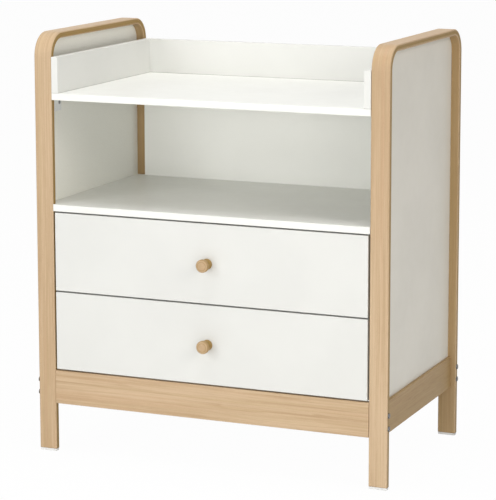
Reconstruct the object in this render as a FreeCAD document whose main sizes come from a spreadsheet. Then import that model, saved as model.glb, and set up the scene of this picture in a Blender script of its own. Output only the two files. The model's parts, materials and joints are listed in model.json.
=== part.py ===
import FreeCAD, Part
import math
import os
import Sketcher

# Changing dresser: two bent laminated beech hoops carry white boards, an open shelf compartment and
# two drawers on roller runners. The hoops' ends are the legs.
# Lengths are in millimetres. +X is to the right seen from the front, +Y to the back, +Z up.
# The origin is on the floor under the middle of the whole dresser, knobs included.

DRIVING_SIZES = [
    ("overall_width", 870, "over the outer edges of the two hoops"),
    ("overall_depth", 508, "from the front to the back of the legs"),
    ("overall_height", 990, "from the floor to the top of the hoops"),
    ("strip_width", 44, "width of the laminated strip, across the dresser"),
    ("strip_thickness", 15, "thickness of the laminated strip"),
    ("hoop_radius", 55, "outside radius of a hoop's bends"),
    ("hoop_edge_radius", 3, "rounding along a hoop's long edges"),
    ("fit_gap", 0.3, "clearance between a piece and its seat, groove or hole"),
    ("glide_height", 6, "thickness of a glide under a leg"),
    ("glide_inset", 1, "how far a glide stays inside its leg's outline"),
    ("glide_edge_radius", 1.5, "rounding round a glide's foot"),
    ("glide_stem_diameter", 8, "stem of a glide in the leg"),
    ("glide_stem_length", 14, "length of that stem"),
    ("side_panel_thickness", 3, "thin panel inside a hoop"),
    ("groove_depth", 6, "depth of the panel's groove in hoop and side rail"),
    ("side_rail_height", 76, "rail between the legs of one hoop"),
    ("side_rail_thickness", 18, "thickness of that rail"),
    ("rail_height", 80, "front rail and back rail"),
    ("rail_thickness", 18, "thickness of these rails"),
    ("rail_bottom", 117, "height of their lower edge above the floor"),
    ("rail_edge_radius", 2, "rounding of rail and batten edges"),
    ("board_thickness", 16, "shelf, changing top, guards and drawer fronts"),
    ("board_edge_radius", 1, "rounding of the boards' edges"),
    ("board_groove_depth", 5, "grooves in boards for the thin panels"),
    ("shelf_height", 592, "upper face of the shelf above the floor"),
    ("changing_height", 852, "changing surface above the floor"),
    ("guard_height", 84, "guards above the changing surface"),
    ("back_panel_thickness", 8, "back of the open compartment"),
    ("back_panel_end_gap", 4, "from its ends to the legs"),
    ("lower_back_thickness", 3, "back behind the drawers"),
    ("bolt_diameter", 6, "connector bolt through a leg"),
    ("bolt_head_diameter", 12, "its flat head"),
    ("bolt_head_height", 2.5, "how far the head stands proud of the leg"),
    ("bolt_socket_size", 4, "hexagon socket, across flats"),
    ("bolt_socket_depth", 1.8, "depth of the socket"),
    ("head_edge_radius", 0.8, "rounding of bolt and screw heads"),
    ("bolt_spacing", 30, "between the two bolts of a leg"),
    ("bolt_rise", 23, "lower bolt above the rail's lower edge"),
    ("barrel_nut_diameter", 10, "cross nut in the rail"),
    ("barrel_nut_length", 12, "length of the cross nut"),
    ("barrel_nut_inset", 32, "from the rail's end to the nut's middle"),
    ("rail_dowel_diameter", 8, "dowels between side rail and leg"),
    ("rail_dowel_spacing", 54, "between the two dowels of an end"),
    ("batten_dowel_diameter", 6, "dowels between batten and leg"),
    ("batten_dowel_spacing", 22, "between the two dowels of an end"),
    ("dowel_in_leg", 9, "how deep a dowel sits in a leg"),
    ("dowel_in_rail", 20, "how deep a dowel sits in a rail or batten"),
    ("batten_height", 40, "batten that carries a drawer runner"),
    ("block_depth", 34, "corner block, from the leg inwards"),
    ("block_height", 28, "corner block, below its board"),
    ("cam_diameter", 10, "cam lock in a corner block"),
    ("cam_depth", 8, "how deep the cam sits"),
    ("cam_setback", 24, "from the leg to the cam's middle"),
    ("cam_drop", 9, "from the board to the cam's middle"),
    ("cam_driver_size", 4, "square driver recess in the cam"),
    ("cam_driver_depth", 1.5, "depth of that recess"),
    ("stud_diameter", 5, "stud from the leg into the cam"),
    ("block_slot_width", 4, "moulded slot in a corner block"),
    ("block_slot_height", 11, "height of that slot"),
    ("block_slot_depth", 6, "depth of that slot"),
    ("block_slot_setback", 6, "from the leg to the slot's middle"),
    ("block_screw_sink", 9, "how deep a screw's head sits in a block"),
    ("screw_diameter", 4, "wood screws in the boards"),
    ("screw_head_diameter", 8, "their heads"),
    ("screw_head_height", 3, "height of these heads"),
    ("screw_in_board", 10, "how far a block's screw goes up into its board"),
    ("screw_in_guard", 32, "how far a guard's screw goes up into the guard"),
    ("guard_screw_inset", 70, "from a guard's end to its first screw"),
    ("front_gap", 3.5, "above, between and below the drawer fronts"),
    ("front_side_gap", 4, "between a drawer front and a leg"),
    ("front_edge_radius", 1.5, "rounding round a drawer front"),
    ("runner_gap", 12.5, "from leg to drawer side, room for the runners"),
    ("runner_sheet", 1.2, "steel sheet of the runners"),
    ("runner_back_gap", 25, "from the cabinet runners' rear ends to the back legs"),
    ("runner_setback", 18, "from the legs' front to the cabinet runners"),
    ("channel_height", 21.5, "height of a cabinet runner"),
    ("channel_lip", 7, "width of its upper flange"),
    ("channel_shelf", 10, "width of its lower flange, the rear roller's track"),
    ("hem_rise", 2, "from a cabinet runner's foot up to the drawer runner's hem"),
    ("hem_width", 11, "part of a drawer runner under the drawer side"),
    ("track_width", 9.5, "upper flange of a drawer runner, on the front roller"),
    ("front_roller_diameter", 16, "roller on a cabinet runner"),
    ("rear_roller_diameter", 18, "roller on a drawer runner"),
    ("roller_width", 6, "width of a roller"),
    ("roller_edge_radius", 0.6, "rounding of a roller's edges"),
    ("roller_inset", 14, "from a runner's end to its roller's axle"),
    ("axle_diameter", 5, "rivet that a roller turns on"),
    ("axle_head_diameter", 7.5, "its closed head"),
    ("axle_head_height", 0.8, "height of that head"),
    ("runner_slot_length", 12, "slots in the runners' webs, between the screws"),
    ("runner_slot_width", 5, "height of these slots"),
    ("runner_screw_diameter", 3.5, "screws that hold the runners"),
    ("runner_screw_head", 6.5, "diameter of their heads"),
    ("runner_screw_head_height", 1.2, "height of their heads"),
    ("runner_screw_length", 11, "length in the wood"),
    ("runner_screw_inset", 60, "from a runner's end to its first screw"),
    ("drawer_side_thickness", 12, "sides and back of a drawer"),
    ("drawer_side_height", 130, "height of the sides"),
    ("drawer_end_setback", 7, "from the sides' rear ends to those of the cabinet runners"),
    ("drawer_side_rise", 22, "from the front's lower edge up to the sides"),
    ("drawer_bottom_thickness", 3, "drawer bottom"),
    ("drawer_bottom_rise", 10, "from the sides' lower edge to the bottom"),
    ("drawer_dowel_diameter", 6, "dowels of the drawer box"),
    ("drawer_dowel_in_front", 9, "how deep they sit in the front"),
    ("drawer_dowel_in_side", 18, "how deep they sit endways in a side or the back"),
    ("drawer_dowel_rise", 35, "lower dowel above the sides' lower edge"),
    ("drawer_dowel_spacing", 60, "between the two dowels of a joint"),
    ("knob_diameter", 30, "turned knob, over its disc"),
    ("knob_length", 32, "how far a knob stands out"),
    ("knob_base_diameter", 25, "foot of the knob on the drawer front"),
    ("knob_foot_thickness", 2.5, "straight part of that foot"),
    ("knob_neck_diameter", 20, "waist of the knob"),
    ("knob_disc_thickness", 12, "thickness of the knob's disc"),
    ("knob_rim_radius", 3.5, "rounding of the disc's rim, in front and behind"),
    ("knob_dome_rise", 1, "how far the disc's middle stands proud of its rim"),
    ("knob_screw_depth", 16, "how deep the screw goes into the knob"),
]

LEFT = 1    # a piece on the left side faces inwards along +X
RIGHT = -1  # a piece on the right side faces inwards along -X
HALF_TURN = 180
HEXAGON_SIDES = 6
TINY = 1e-4
SCREWS_IN_SIDE_GUARD = 3
SCREWS_IN_BACK_GUARD = 4
SCREWS_IN_RUNNER = 3


class Size:
    """A length worked out from the sheet: its value and the expression that keeps it bound."""

    def __init__(self, text, value):
        self.text = text
        self.value = value

    def __add__(self, other):
        return joined(self, "+", other, self.value + value_of(other))

    def __radd__(self, other):
        return joined(other, "+", self, value_of(other) + self.value)

    def __sub__(self, other):
        return joined(self, "-", other, self.value - value_of(other))

    def __rsub__(self, other):
        return joined(other, "-", self, value_of(other) - self.value)

    def __mul__(self, other):
        return joined(self, "*", other, self.value * value_of(other))

    def __rmul__(self, other):
        return joined(other, "*", self, value_of(other) * self.value)

    def __truediv__(self, other):
        return joined(self, "/", other, self.value / value_of(other))

    def __neg__(self):
        return joined(0, "-", self, -self.value)


def value_of(length):
    return length.value if isinstance(length, Size) else float(length)


def text_of(length):
    return length.text if isinstance(length, Size) else "(%r)" % float(length)


def joined(left, sign, right, value):
    return Size("(%s %s %s)" % (text_of(left), sign, text_of(right)), value)


class SizeSheet:
    """The spreadsheet of driving sizes; each size is read by its alias, as in sizes.rail_height."""

    def __init__(self, doc):
        self.sheet = doc.addObject("Spreadsheet::Sheet", "Sizes")
        self.values = {}
        for row, (alias, value, note) in enumerate(DRIVING_SIZES, start=1):
            self.sheet.set("A%d" % row, alias)
            self.sheet.set("B%d" % row, str(value))
            self.sheet.setAlias("B%d" % row, alias)
            self.sheet.set("C%d" % row, note)
            self.values[alias] = float(value)
        doc.recompute()

    def __getattr__(self, alias):
        return Size("Sizes." + alias, self.values[alias])


doc = FreeCAD.newDocument("ChangingDresser")
sizes = SizeSheet(doc)
finished = []

# ---------------------------------------------------------------- where things are

gap = sizes.fit_gap
half_width = sizes.overall_width / 2
inner_half = half_width - sizes.strip_width
front = (sizes.knob_length - sizes.overall_depth) / 2
back = front + sizes.overall_depth
hoop_height = sizes.overall_height - sizes.glide_height
between_legs = sizes.overall_depth - 2 * sizes.strip_thickness
panel_face = half_width - (sizes.strip_width + sizes.side_panel_thickness) / 2
recess_width = panel_face - gap - inner_half
rail_middle = sizes.rail_bottom + sizes.rail_height / 2
side_rail_bottom = rail_middle - sizes.side_rail_height / 2
side_rail_top = rail_middle + sizes.side_rail_height / 2
bolt_radius = sizes.bolt_diameter / 2
lower_bolt = sizes.rail_bottom + sizes.bolt_rise
shelf_underside = sizes.shelf_height - sizes.board_thickness
top_underside = sizes.changing_height - sizes.board_thickness
board_levels = (top_underside, shelf_underside)
rail_top = sizes.rail_bottom + sizes.rail_height
front_height = (shelf_underside - rail_top - 3 * sizes.front_gap) / 2
front_width = 2 * (inner_half - sizes.front_side_gap)
lower_front_foot = rail_top + sizes.front_gap
upper_front_foot = lower_front_foot + front_height + sizes.front_gap
level_step = front_height + sizes.front_gap
drawer_half = inner_half - sizes.runner_gap
drawer_inner_half = drawer_half - sizes.drawer_side_thickness
behind_front = front + sizes.board_thickness
runner_end = sizes.overall_depth - sizes.strip_thickness - sizes.runner_back_gap
runner_length = runner_end - sizes.runner_setback
drawer_side_length = runner_end - sizes.drawer_end_setback - sizes.board_thickness
hem_screw_setback = (sizes.drawer_side_thickness - sizes.board_groove_depth) / 2


def side_foot(front_foot):
    """The height of a drawer's sides above the floor."""
    return front_foot + sizes.drawer_side_rise


def runner_foot(front_foot):
    """The height of a cabinet runner's lower face above the floor."""
    return side_foot(front_foot) - sizes.hem_rise - sizes.runner_sheet


def batten_foot(front_foot):
    """A batten is centred on the cabinet runner that it carries."""
    return runner_foot(front_foot) + (sizes.channel_height - sizes.batten_height) / 2


# ---------------------------------------------------------------- drawing and cutting

PLANE_OF = {"x": "YZ_Plane", "y": "XZ_Plane", "z": "XY_Plane"}
NORMAL_SIGN = {"x": 1, "y": -1, "z": 1}


def bind(thing, path, length):
    thing.setExpression(path, text_of(length))


def place(thing, x, y, z):
    for axis, length in zip("xyz", (x, y, z)):
        bind(thing, "Placement.Base." + axis, length)


def new_body(label, x, y, z, turn=0):
    """A sub-part that starts at x, y, z and may be turned about the vertical."""
    body = doc.addObject("PartDesign::Body", label)
    body.Label = label
    upright = FreeCAD.Rotation(FreeCAD.Vector(0, 0, 1), turn)
    body.Placement = FreeCAD.Placement(FreeCAD.Vector(), upright)
    place(body, x, y, z)
    return body


def new_sketch(body, axis, at=0):
    """A sketch square to an axis of the body, at a distance along that axis."""
    sketch = body.newObject("Sketcher::SketchObject", body.Label + "_sketch")
    planes = [f for f in body.Origin.OriginFeatures if f.Role == PLANE_OF[axis]]
    sketch.AttachmentSupport = [(planes[0], "")]
    sketch.MapMode = "FlatFace"
    bind(sketch, "AttachmentOffset.Base.z", at * NORMAL_SIGN[axis])
    return sketch


def fix_point(sketch, item, end, x, y):
    """Ties a point of the sketch to the origin by two bound distances."""
    for kind, length in (("DistanceX", x), ("DistanceY", y)):
        rule = Sketcher.Constraint(kind, -1, 1, item, end, value_of(length))
        number = sketch.addConstraint(rule)
        if isinstance(length, Size):
            sketch.setExpression("Constraints[%d]" % number, length.text)


def arc_between(start, end, radius, side):
    """An arc, anticlockwise as the sketcher keeps it; its centre is left of the way (side 1) or right."""
    chord = end - start
    to_middle = math.sqrt(max(radius ** 2 - (chord.Length / 2) ** 2, 0))
    leftwards = FreeCAD.Vector(-chord.y, chord.x, 0).normalize()
    centre = (start + end) * 0.5 + leftwards * to_middle * side
    first, last = (start, end) if side > 0 else (end, start)
    angles = [math.atan2(p.y - centre.y, p.x - centre.x) for p in (first, last)]
    circle = Part.Circle(centre, FreeCAD.Vector(0, 0, 1), radius)
    return Part.ArcOfCircle(circle, angles[0], angles[1])


def draw_profile(sketch, steps):
    """A closed profile. A step is x, y and how the way goes on: None for straight, or (radius, side)."""
    spots = [FreeCAD.Vector(value_of(x), value_of(y), 0) for x, y, _ in steps]
    ends = []
    for number, (x, y, bend) in enumerate(steps):
        start, end = spots[number], spots[(number + 1) % len(steps)]
        if bend is None:
            item = sketch.addGeometry(Part.LineSegment(start, end), False)
            ends.append((item, 1, 2))
            continue
        radius, side = bend
        item = sketch.addGeometry(arc_between(start, end, value_of(radius), side), False)
        ends.append((item, 1, 2) if side > 0 else (item, 2, 1))
    for number, (item, _, last) in enumerate(ends):
        following, first, _ = ends[(number + 1) % len(ends)]
        sketch.addConstraint(Sketcher.Constraint("Coincident", item, last, following, first))
    for (item, first, _), (x, y, bend) in zip(ends, steps):
        fix_point(sketch, item, first, x, y)
        if bend is not None:
            rule = sketch.addConstraint(Sketcher.Constraint("Radius", item, value_of(bend[0])))
            bind(sketch, "Constraints[%d]" % rule, bend[0])


def rounded(corners):
    """Turns corners (x, y) or (x, y, radius) of a square-cornered outline into a profile's steps."""
    steps = []
    for number, corner in enumerate(corners):
        if len(corner) < 3:
            steps.append((corner[0], corner[1], None))
            continue
        x, y, radius = corner
        way_in = heading(corners[number - 1], corner)
        way_out = heading(corner, corners[(number + 1) % len(corners)])
        side = 1 if way_in[0] * way_out[1] - way_in[1] * way_out[0] > 0 else -1
        steps.append((x - radius * way_in[0], y - radius * way_in[1], (radius, side)))
        steps.append((x + radius * way_out[0], y + radius * way_out[1], None))
    return steps


def heading(start, end):
    """The direction along an axis from one corner to the next, as (-1, 0 or 1, -1, 0 or 1)."""
    dx = value_of(end[0]) - value_of(start[0])
    dy = value_of(end[1]) - value_of(start[1])
    return (0, math.copysign(1, dy)) if abs(dx) < TINY else (math.copysign(1, dx), 0)


def draw_circles(sketch, centres, radius):
    for x, y in centres:
        spot = FreeCAD.Vector(value_of(x), value_of(y), 0)
        circle = Part.Circle(spot, FreeCAD.Vector(0, 0, 1), value_of(radius))
        item = sketch.addGeometry(circle, False)
        fix_point(sketch, item, 3, x, y)
        rule = sketch.addConstraint(Sketcher.Constraint("Radius", item, value_of(radius)))
        bind(sketch, "Constraints[%d]" % rule, radius)


def pad(body, axis, drawing, length, at=0, towards=1, both_ways=False):
    """Adds material: a drawing (a function that fills a sketch) grown along the axis."""
    sketch = new_sketch(body, axis, at)
    drawing(sketch)
    feature = body.newObject("PartDesign::Pad", body.Label + "_pad")
    feature.Profile = sketch
    feature.Reversed = towards != NORMAL_SIGN[axis]
    feature.SideType = "Symmetric" if both_ways else "One side"
    bind(feature, "Length", length)
    return feature


def cut(body, axis, drawing, length, at=0, towards=1, both_ways=False):
    """Takes material away the same way, and fails if nothing was cut."""
    doc.recompute()
    before = body.Shape.Volume
    sketch = new_sketch(body, axis, at)
    drawing(sketch)
    feature = body.newObject("PartDesign::Pocket", body.Label + "_cut")
    feature.Profile = sketch
    feature.Reversed = towards == NORMAL_SIGN[axis]
    feature.SideType = "Symmetric" if both_ways else "One side"
    bind(feature, "Length", length)
    doc.recompute()
    if not body.Shape.Volume < before - TINY:
        raise RuntimeError("nothing was cut from " + body.Label)
    return feature


def drill(body, axis, centres, diameter, depth, at=0, towards=1, both_ways=False):
    """Round holes with the fit gap all round."""
    radius = diameter / 2 + gap
    cut(body, axis, lambda sketch: draw_circles(sketch, centres, radius), depth, at, towards, both_ways)


def box_drawing(x0, y0, x1, y1, radius=None):
    corners = [(x0, y0), (x1, y0), (x1, y1), (x0, y1)]
    if radius is not None:
        corners = [(x, y, radius) for x, y in corners]
    return lambda sketch: draw_profile(sketch, rounded(corners))


def outline_drawing(corners):
    return lambda sketch: draw_profile(sketch, rounded(corners))


def circle_drawing(centres, radius):
    return lambda sketch: draw_circles(sketch, centres, radius)


def hexagon_drawing(x, y, across_flats):
    """A hexagon socket round x, y."""
    reach = across_flats / math.sqrt(3)
    steps = []
    for number in range(HEXAGON_SIDES):
        angle = 2 * math.pi * number / HEXAGON_SIDES
        steps.append((x + reach * math.cos(angle), y + reach * math.sin(angle), None))
    return lambda sketch: draw_profile(sketch, steps)


def lies_on(edge, axis, length):
    """True if both ends of an edge have this coordinate, in the body's own frame."""
    ends = [getattr(vertex.Point, axis) for vertex in edge.Vertexes]
    return all(abs(end - value_of(length)) < TINY for end in ends)


def soften(body, radius, chosen):
    """Rounds the edges that the chosen function picks."""
    doc.recompute()
    base = body.Tip
    names = ["Edge%d" % (n + 1) for n, edge in enumerate(base.Shape.Edges) if chosen(edge)]
    feature = body.newObject("PartDesign::Fillet", body.Label + "_rounding")
    feature.Base = (base, names)
    bind(feature, "Radius", radius)
    doc.recompute()


# ---------------------------------------------------------------- copies of like pieces

def shifted(source, x=0, y=0, z=0):
    """A linked copy of a piece, moved."""
    copy = doc.addObject("App::Link", source.Name + "_copy")
    copy.LinkedObject = source
    copy.LinkTransform = True
    place(copy, x, y, z)
    return copy


def mirrored(source, axis, at=0):
    """A mirrored copy across the plane square to an axis."""
    copy = doc.addObject("Part::Mirroring", source.Name + "_mirror")
    copy.Source = source
    copy.Normal = FreeCAD.Vector(*[1.0 if name == axis else 0.0 for name in "xyz"])
    bind(copy, "Base." + axis, at)
    return copy


def group(label, members):
    doc.recompute()
    compound = doc.addObject("Part::Compound", label)
    compound.Label = label
    compound.Links = members
    return compound


def repeat(label, master, shifts):
    """The master and copies of it, each moved by x, y, z."""
    return group(label, [master] + [shifted(master, *shift) for shift in shifts])


def left_and_right(label, master):
    return group(label, [master, mirrored(master, "x")])


def four_corners(label, master):
    """A piece at the left front leg, repeated at the other three legs."""
    pair = left_and_right(label + "_front", master)
    return group(label, [pair, mirrored(pair, "y", (front + back) / 2)])


def keep(piece, label=None):
    """Marks a piece as one of the dresser's nodes."""
    if label is not None:
        piece.Label = label
    finished.append(piece)


# ---------------------------------------------------------------- frame: hoops, panels, rails

def inside_outline(spread, foot):
    """The space inside a hoop, grown by the spread, down to a height; for panel and groove."""
    near = sizes.strip_thickness - spread
    far = sizes.overall_depth - sizes.strip_thickness + spread
    top = hoop_height - sizes.strip_thickness + spread
    bend = sizes.hoop_radius - sizes.strip_thickness + spread
    return outline_drawing([(near, foot), (far, foot), (far, top, bend), (near, top, bend)])


def leg_bolt_spots(floor):
    """Where the bolts cross a leg: y from the leg's outer face, z above a floor."""
    near = sizes.strip_thickness / 2
    far = sizes.overall_depth - near
    heights = (lower_bolt - floor, lower_bolt + sizes.bolt_spacing - floor)
    return [(y, z) for y in (near, far) for z in heights]


def batten_dowel_heights(front_foot):
    middle = batten_foot(front_foot) + sizes.batten_height / 2
    half = sizes.batten_dowel_spacing / 2
    return (middle - half, middle + half)


def rail_dowel_heights():
    half = sizes.rail_dowel_spacing / 2
    return (rail_middle - half, rail_middle + half)


def make_hoop(label, side):
    """A laminated strip bent twice. In its own frame x runs inwards from its outer edge."""
    floor = sizes.glide_height
    near_y, turn = (front, 0) if side == LEFT else (back, HALF_TURN)
    hoop = new_body(label, -side * half_width, near_y, floor, turn)
    thick, deep = sizes.strip_thickness, sizes.overall_depth
    bend = sizes.hoop_radius
    outline = outline_drawing([
        (0, 0), (thick, 0),
        (thick, hoop_height - thick, bend - thick),
        (deep - thick, hoop_height - thick, bend - thick),
        (deep - thick, 0), (deep, 0),
        (deep, hoop_height, bend), (0, hoop_height, bend),
    ])
    pad(hoop, "x", outline, sizes.strip_width)
    soften(hoop, sizes.hoop_edge_radius, lambda edge: not lies_on(edge, "z", 0) and (
        lies_on(edge, "x", 0) or lies_on(edge, "x", sizes.strip_width)))
    groove_foot = side_rail_top - sizes.groove_depth - floor
    cut(hoop, "x", inside_outline(sizes.groove_depth, groove_foot),
        sizes.side_panel_thickness + 2 * gap, at=sizes.strip_width / 2, both_ways=True)
    drill(hoop, "x", leg_bolt_spots(floor), sizes.bolt_diameter, sizes.strip_width)

    into_legs = between_legs + 2 * (sizes.dowel_in_leg + gap)
    middle = sizes.overall_depth / 2
    in_recess = sizes.strip_width - recess_width / 2
    drill(hoop, "y", [(sizes.strip_width / 2, z - floor) for z in rail_dowel_heights()],
          sizes.rail_dowel_diameter, into_legs, at=middle, both_ways=True)
    heights = batten_dowel_heights(lower_front_foot) + batten_dowel_heights(upper_front_foot)
    drill(hoop, "y", [(in_recess, z - floor) for z in heights],
          sizes.batten_dowel_diameter, into_legs, at=middle, both_ways=True)
    stud_x = sizes.strip_width - sizes.cam_depth / 2
    drill(hoop, "y", [(stud_x, level - sizes.cam_drop - floor) for level in board_levels],
          sizes.stud_diameter, into_legs, at=middle, both_ways=True)
    stems = [(sizes.strip_width / 2, y) for y in (thick / 2, deep - thick / 2)]
    drill(hoop, "z", stems, sizes.glide_stem_diameter, sizes.glide_stem_length + gap)
    keep(hoop)


def make_side_panel(label, side):
    """A thin panel that fills the hoop, held in the groove all round."""
    near_y, turn = (front, 0) if side == LEFT else (back, HALF_TURN)
    panel = new_body(label, -side * half_width, near_y, sizes.glide_height, turn)
    start = (sizes.strip_width - sizes.side_panel_thickness) / 2
    foot = side_rail_top - sizes.groove_depth + gap - sizes.glide_height
    pad(panel, "x", inside_outline(sizes.groove_depth - gap, foot), sizes.side_panel_thickness, at=start)
    keep(panel)


def make_side_rail(label, side):
    """The rail between a hoop's two legs, grooved on top for the panel."""
    rail = new_body(label, -side * (half_width - sizes.strip_width / 2),
                    front + sizes.strip_thickness + gap, side_rail_bottom)
    half, tall, round_off = sizes.side_rail_thickness / 2, sizes.side_rail_height, sizes.rail_edge_radius
    groove_half = sizes.side_panel_thickness / 2 + gap
    section = outline_drawing([
        (-half, 0, round_off), (half, 0, round_off), (half, tall, round_off),
        (groove_half, tall), (groove_half, tall - sizes.groove_depth),
        (-groove_half, tall - sizes.groove_depth), (-groove_half, tall),
        (-half, tall, round_off),
    ])
    length = between_legs - 2 * gap
    pad(rail, "y", section, length)
    spots = [(0, z - side_rail_bottom) for z in rail_dowel_heights()]
    drill_both_ends(rail, spots, sizes.rail_dowel_diameter, sizes.dowel_in_rail + gap, length)
    keep(rail)


def drill_both_ends(body, spots, diameter, depth, length):
    """Holes into the front end and the back end of a piece that runs from front to back."""
    drill(body, "y", spots, diameter, depth)
    drill(body, "y", spots, diameter, depth, at=length, towards=-1)


def make_cross_rail(label, turn):
    """The front rail, or the back rail turned about: flush with the legs, bolted at its ends."""
    sign = 1 if turn == 0 else -1
    rail = new_body(label, -sign * (inner_half - gap), front if turn == 0 else back,
                    sizes.rail_bottom, turn)
    thick, tall, round_off = sizes.rail_thickness, sizes.rail_height, sizes.rail_edge_radius
    corners = [(0, 0, round_off), (thick, 0, round_off)]
    if turn:
        slot = sizes.lower_back_thickness / 2 + gap
        low = tall - sizes.board_groove_depth
        corners += [(thick, tall, round_off), (thick / 2 + slot, tall), (thick / 2 + slot, low),
                    (thick / 2 - slot, low), (thick / 2 - slot, tall), (0, tall, round_off)]
    else:
        corners += [(thick, tall, round_off), (0, tall, round_off)]
    length = 2 * (inner_half - gap)
    pad(rail, "x", outline_drawing(corners), length)
    spots = leg_bolt_spots(sizes.rail_bottom)[:2]
    reach = sizes.barrel_nut_inset + sizes.barrel_nut_diameter
    drill(rail, "x", spots, sizes.bolt_diameter, reach)
    drill(rail, "x", spots, sizes.bolt_diameter, reach, at=length, towards=-1)
    nut_depth = thick - (sizes.strip_thickness - sizes.barrel_nut_length) / 2 + gap
    nuts = [(x, z) for x in (sizes.barrel_nut_inset, length - sizes.barrel_nut_inset) for _, z in spots]
    drill(rail, "y", nuts, sizes.barrel_nut_diameter, nut_depth, at=thick, towards=-1)
    keep(rail)


# ---------------------------------------------------------------- boards and thin panels

def back_panel_span():
    """The compartment's back panel ends level with the front of the back legs."""
    far = sizes.overall_depth - sizes.strip_thickness
    return far - sizes.back_panel_thickness, far


def lower_back_middle():
    return sizes.overall_depth - sizes.rail_thickness / 2


def across_groove(body, y_from, y_to, half_length, at, towards):
    """A groove from side to side in a board's face, for a thin panel with the fit gap."""
    drawing = box_drawing(-half_length - gap, y_from - gap, half_length + gap, y_to + gap)
    cut(body, "z", drawing, sizes.board_groove_depth, at=at, towards=towards)


def make_notched_board(label, underside):
    """A board between the hoops, with ears that reach to the side panels between the legs."""
    board = new_body(label, 0, front, underside)
    deep, thick = sizes.overall_depth, sizes.board_thickness
    near = sizes.strip_thickness + gap
    far = deep - sizes.strip_thickness - gap
    neck = inner_half - gap
    ear = panel_face - gap
    outline = outline_drawing([
        (-neck, 0), (neck, 0), (neck, near), (ear, near), (ear, far), (neck, far),
        (neck, deep), (-neck, deep), (-neck, far), (-ear, far), (-ear, near), (-neck, near),
    ])
    pad(board, "z", outline, thick)
    soften(board, sizes.board_edge_radius, lambda edge: (
        lies_on(edge, "y", 0) or lies_on(edge, "y", deep)) and not lies_on(edge, "x", neck)
        and not lies_on(edge, "x", -neck))
    block_x, block_y = block_screw_spot()
    spots = [(sx * block_x, y) for sx in (-1, 1) for y in (block_y, deep - block_y)]
    drill(board, "z", spots, sizes.screw_diameter, sizes.screw_in_board + gap)
    return board


def make_shelf():
    shelf = make_notched_board("shelf", shelf_underside)
    near, far = back_panel_span()
    across_groove(shelf, near, far, inner_half - sizes.back_panel_end_gap,
                  sizes.board_thickness, towards=-1)
    middle, half = lower_back_middle(), sizes.lower_back_thickness / 2
    across_groove(shelf, middle - half, middle + half, inner_half - gap, 0, towards=1)
    keep(shelf)


def side_guard_screws():
    """Screws of the left guard, as x from the middle and y from the front of the legs."""
    x = -(inner_half - gap - sizes.board_thickness / 2)
    length = sizes.overall_depth - sizes.board_thickness - gap
    step = (length - 2 * sizes.guard_screw_inset) / (SCREWS_IN_SIDE_GUARD - 1)
    return [(x, sizes.guard_screw_inset + step * number) for number in range(SCREWS_IN_SIDE_GUARD)]


def back_guard_screws():
    y = sizes.overall_depth - sizes.board_thickness / 2
    reach = inner_half - gap - sizes.guard_screw_inset
    step = 2 * reach / (SCREWS_IN_BACK_GUARD - 1)
    return [(step * number - reach, y) for number in range(SCREWS_IN_BACK_GUARD)]


def make_changing_top():
    top = make_notched_board("changing_top", top_underside)
    near, far = back_panel_span()
    across_groove(top, near, far, inner_half - sizes.back_panel_end_gap, 0, towards=1)
    sides = side_guard_screws()
    spots = sides + [(-x, y) for x, y in sides] + back_guard_screws()
    drill(top, "z", spots, sizes.screw_diameter, sizes.board_thickness)
    drill(top, "z", spots, sizes.screw_head_diameter, sizes.screw_head_height + gap)
    keep(top)


def guard_section():
    """The upright section of a guard, rounded along its upper edges."""
    thick, tall, round_off = sizes.board_thickness, sizes.guard_height, sizes.board_edge_radius
    return outline_drawing([(0, 0), (thick, 0), (thick, tall, round_off), (0, tall, round_off)])


def make_side_guard(label, side):
    near_x = -(inner_half - gap) if side == LEFT else inner_half - gap - sizes.board_thickness
    guard = new_body(label, near_x, front, sizes.changing_height)
    length = sizes.overall_depth - sizes.board_thickness - gap
    pad(guard, "y", guard_section(), length)
    spots = [(sizes.board_thickness / 2, y) for _, y in side_guard_screws()]
    drill(guard, "z", spots, sizes.screw_diameter, sizes.screw_in_guard + gap)
    keep(guard)


def make_back_guard():
    reach = inner_half - gap
    guard = new_body("guard_back", -reach, back - sizes.board_thickness, sizes.changing_height)
    pad(guard, "x", guard_section(), 2 * reach)
    spots = [(x + reach, sizes.board_thickness / 2) for x, _ in back_guard_screws()]
    drill(guard, "z", spots, sizes.screw_diameter, sizes.screw_in_guard + gap)
    keep(guard)


def make_back_panel(label, half_length, near, far, low, high):
    """A thin panel that stands in grooves above and below it."""
    panel = new_body(label, 0, front, low)
    pad(panel, "z", box_drawing(-half_length, near, half_length, far), high - low)
    keep(panel)


def make_back_panels():
    depth = sizes.board_groove_depth - gap
    near, far = back_panel_span()
    make_back_panel("back_panel_upper", inner_half - sizes.back_panel_end_gap, near, far,
                    sizes.shelf_height - depth, top_underside + depth)
    middle, half = lower_back_middle(), sizes.lower_back_thickness / 2
    make_back_panel("back_panel_lower", inner_half - gap - gap, middle - half, middle + half,
                    rail_top - depth, shelf_underside + depth)


# ---------------------------------------------------------------- glides, bolts, dowels, blocks

def make_glides():
    """A plastic pad under each leg, with a stem pushed into the leg."""
    glide = new_body("glide", -half_width, front, 0)
    inset = sizes.glide_inset
    wide, thick = sizes.strip_width - inset, sizes.strip_thickness - inset
    drawing = box_drawing(inset, inset, wide, thick, sizes.hoop_edge_radius - inset)
    pad(glide, "z", drawing, sizes.glide_height)
    soften(glide, sizes.glide_edge_radius, lambda edge: lies_on(edge, "z", 0))
    stem = circle_drawing([(sizes.strip_width / 2, sizes.strip_thickness / 2)],
                          sizes.glide_stem_diameter / 2)
    pad(glide, "z", stem, sizes.glide_stem_length, at=sizes.glide_height)
    keep(four_corners("leg_glides", glide))


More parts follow.
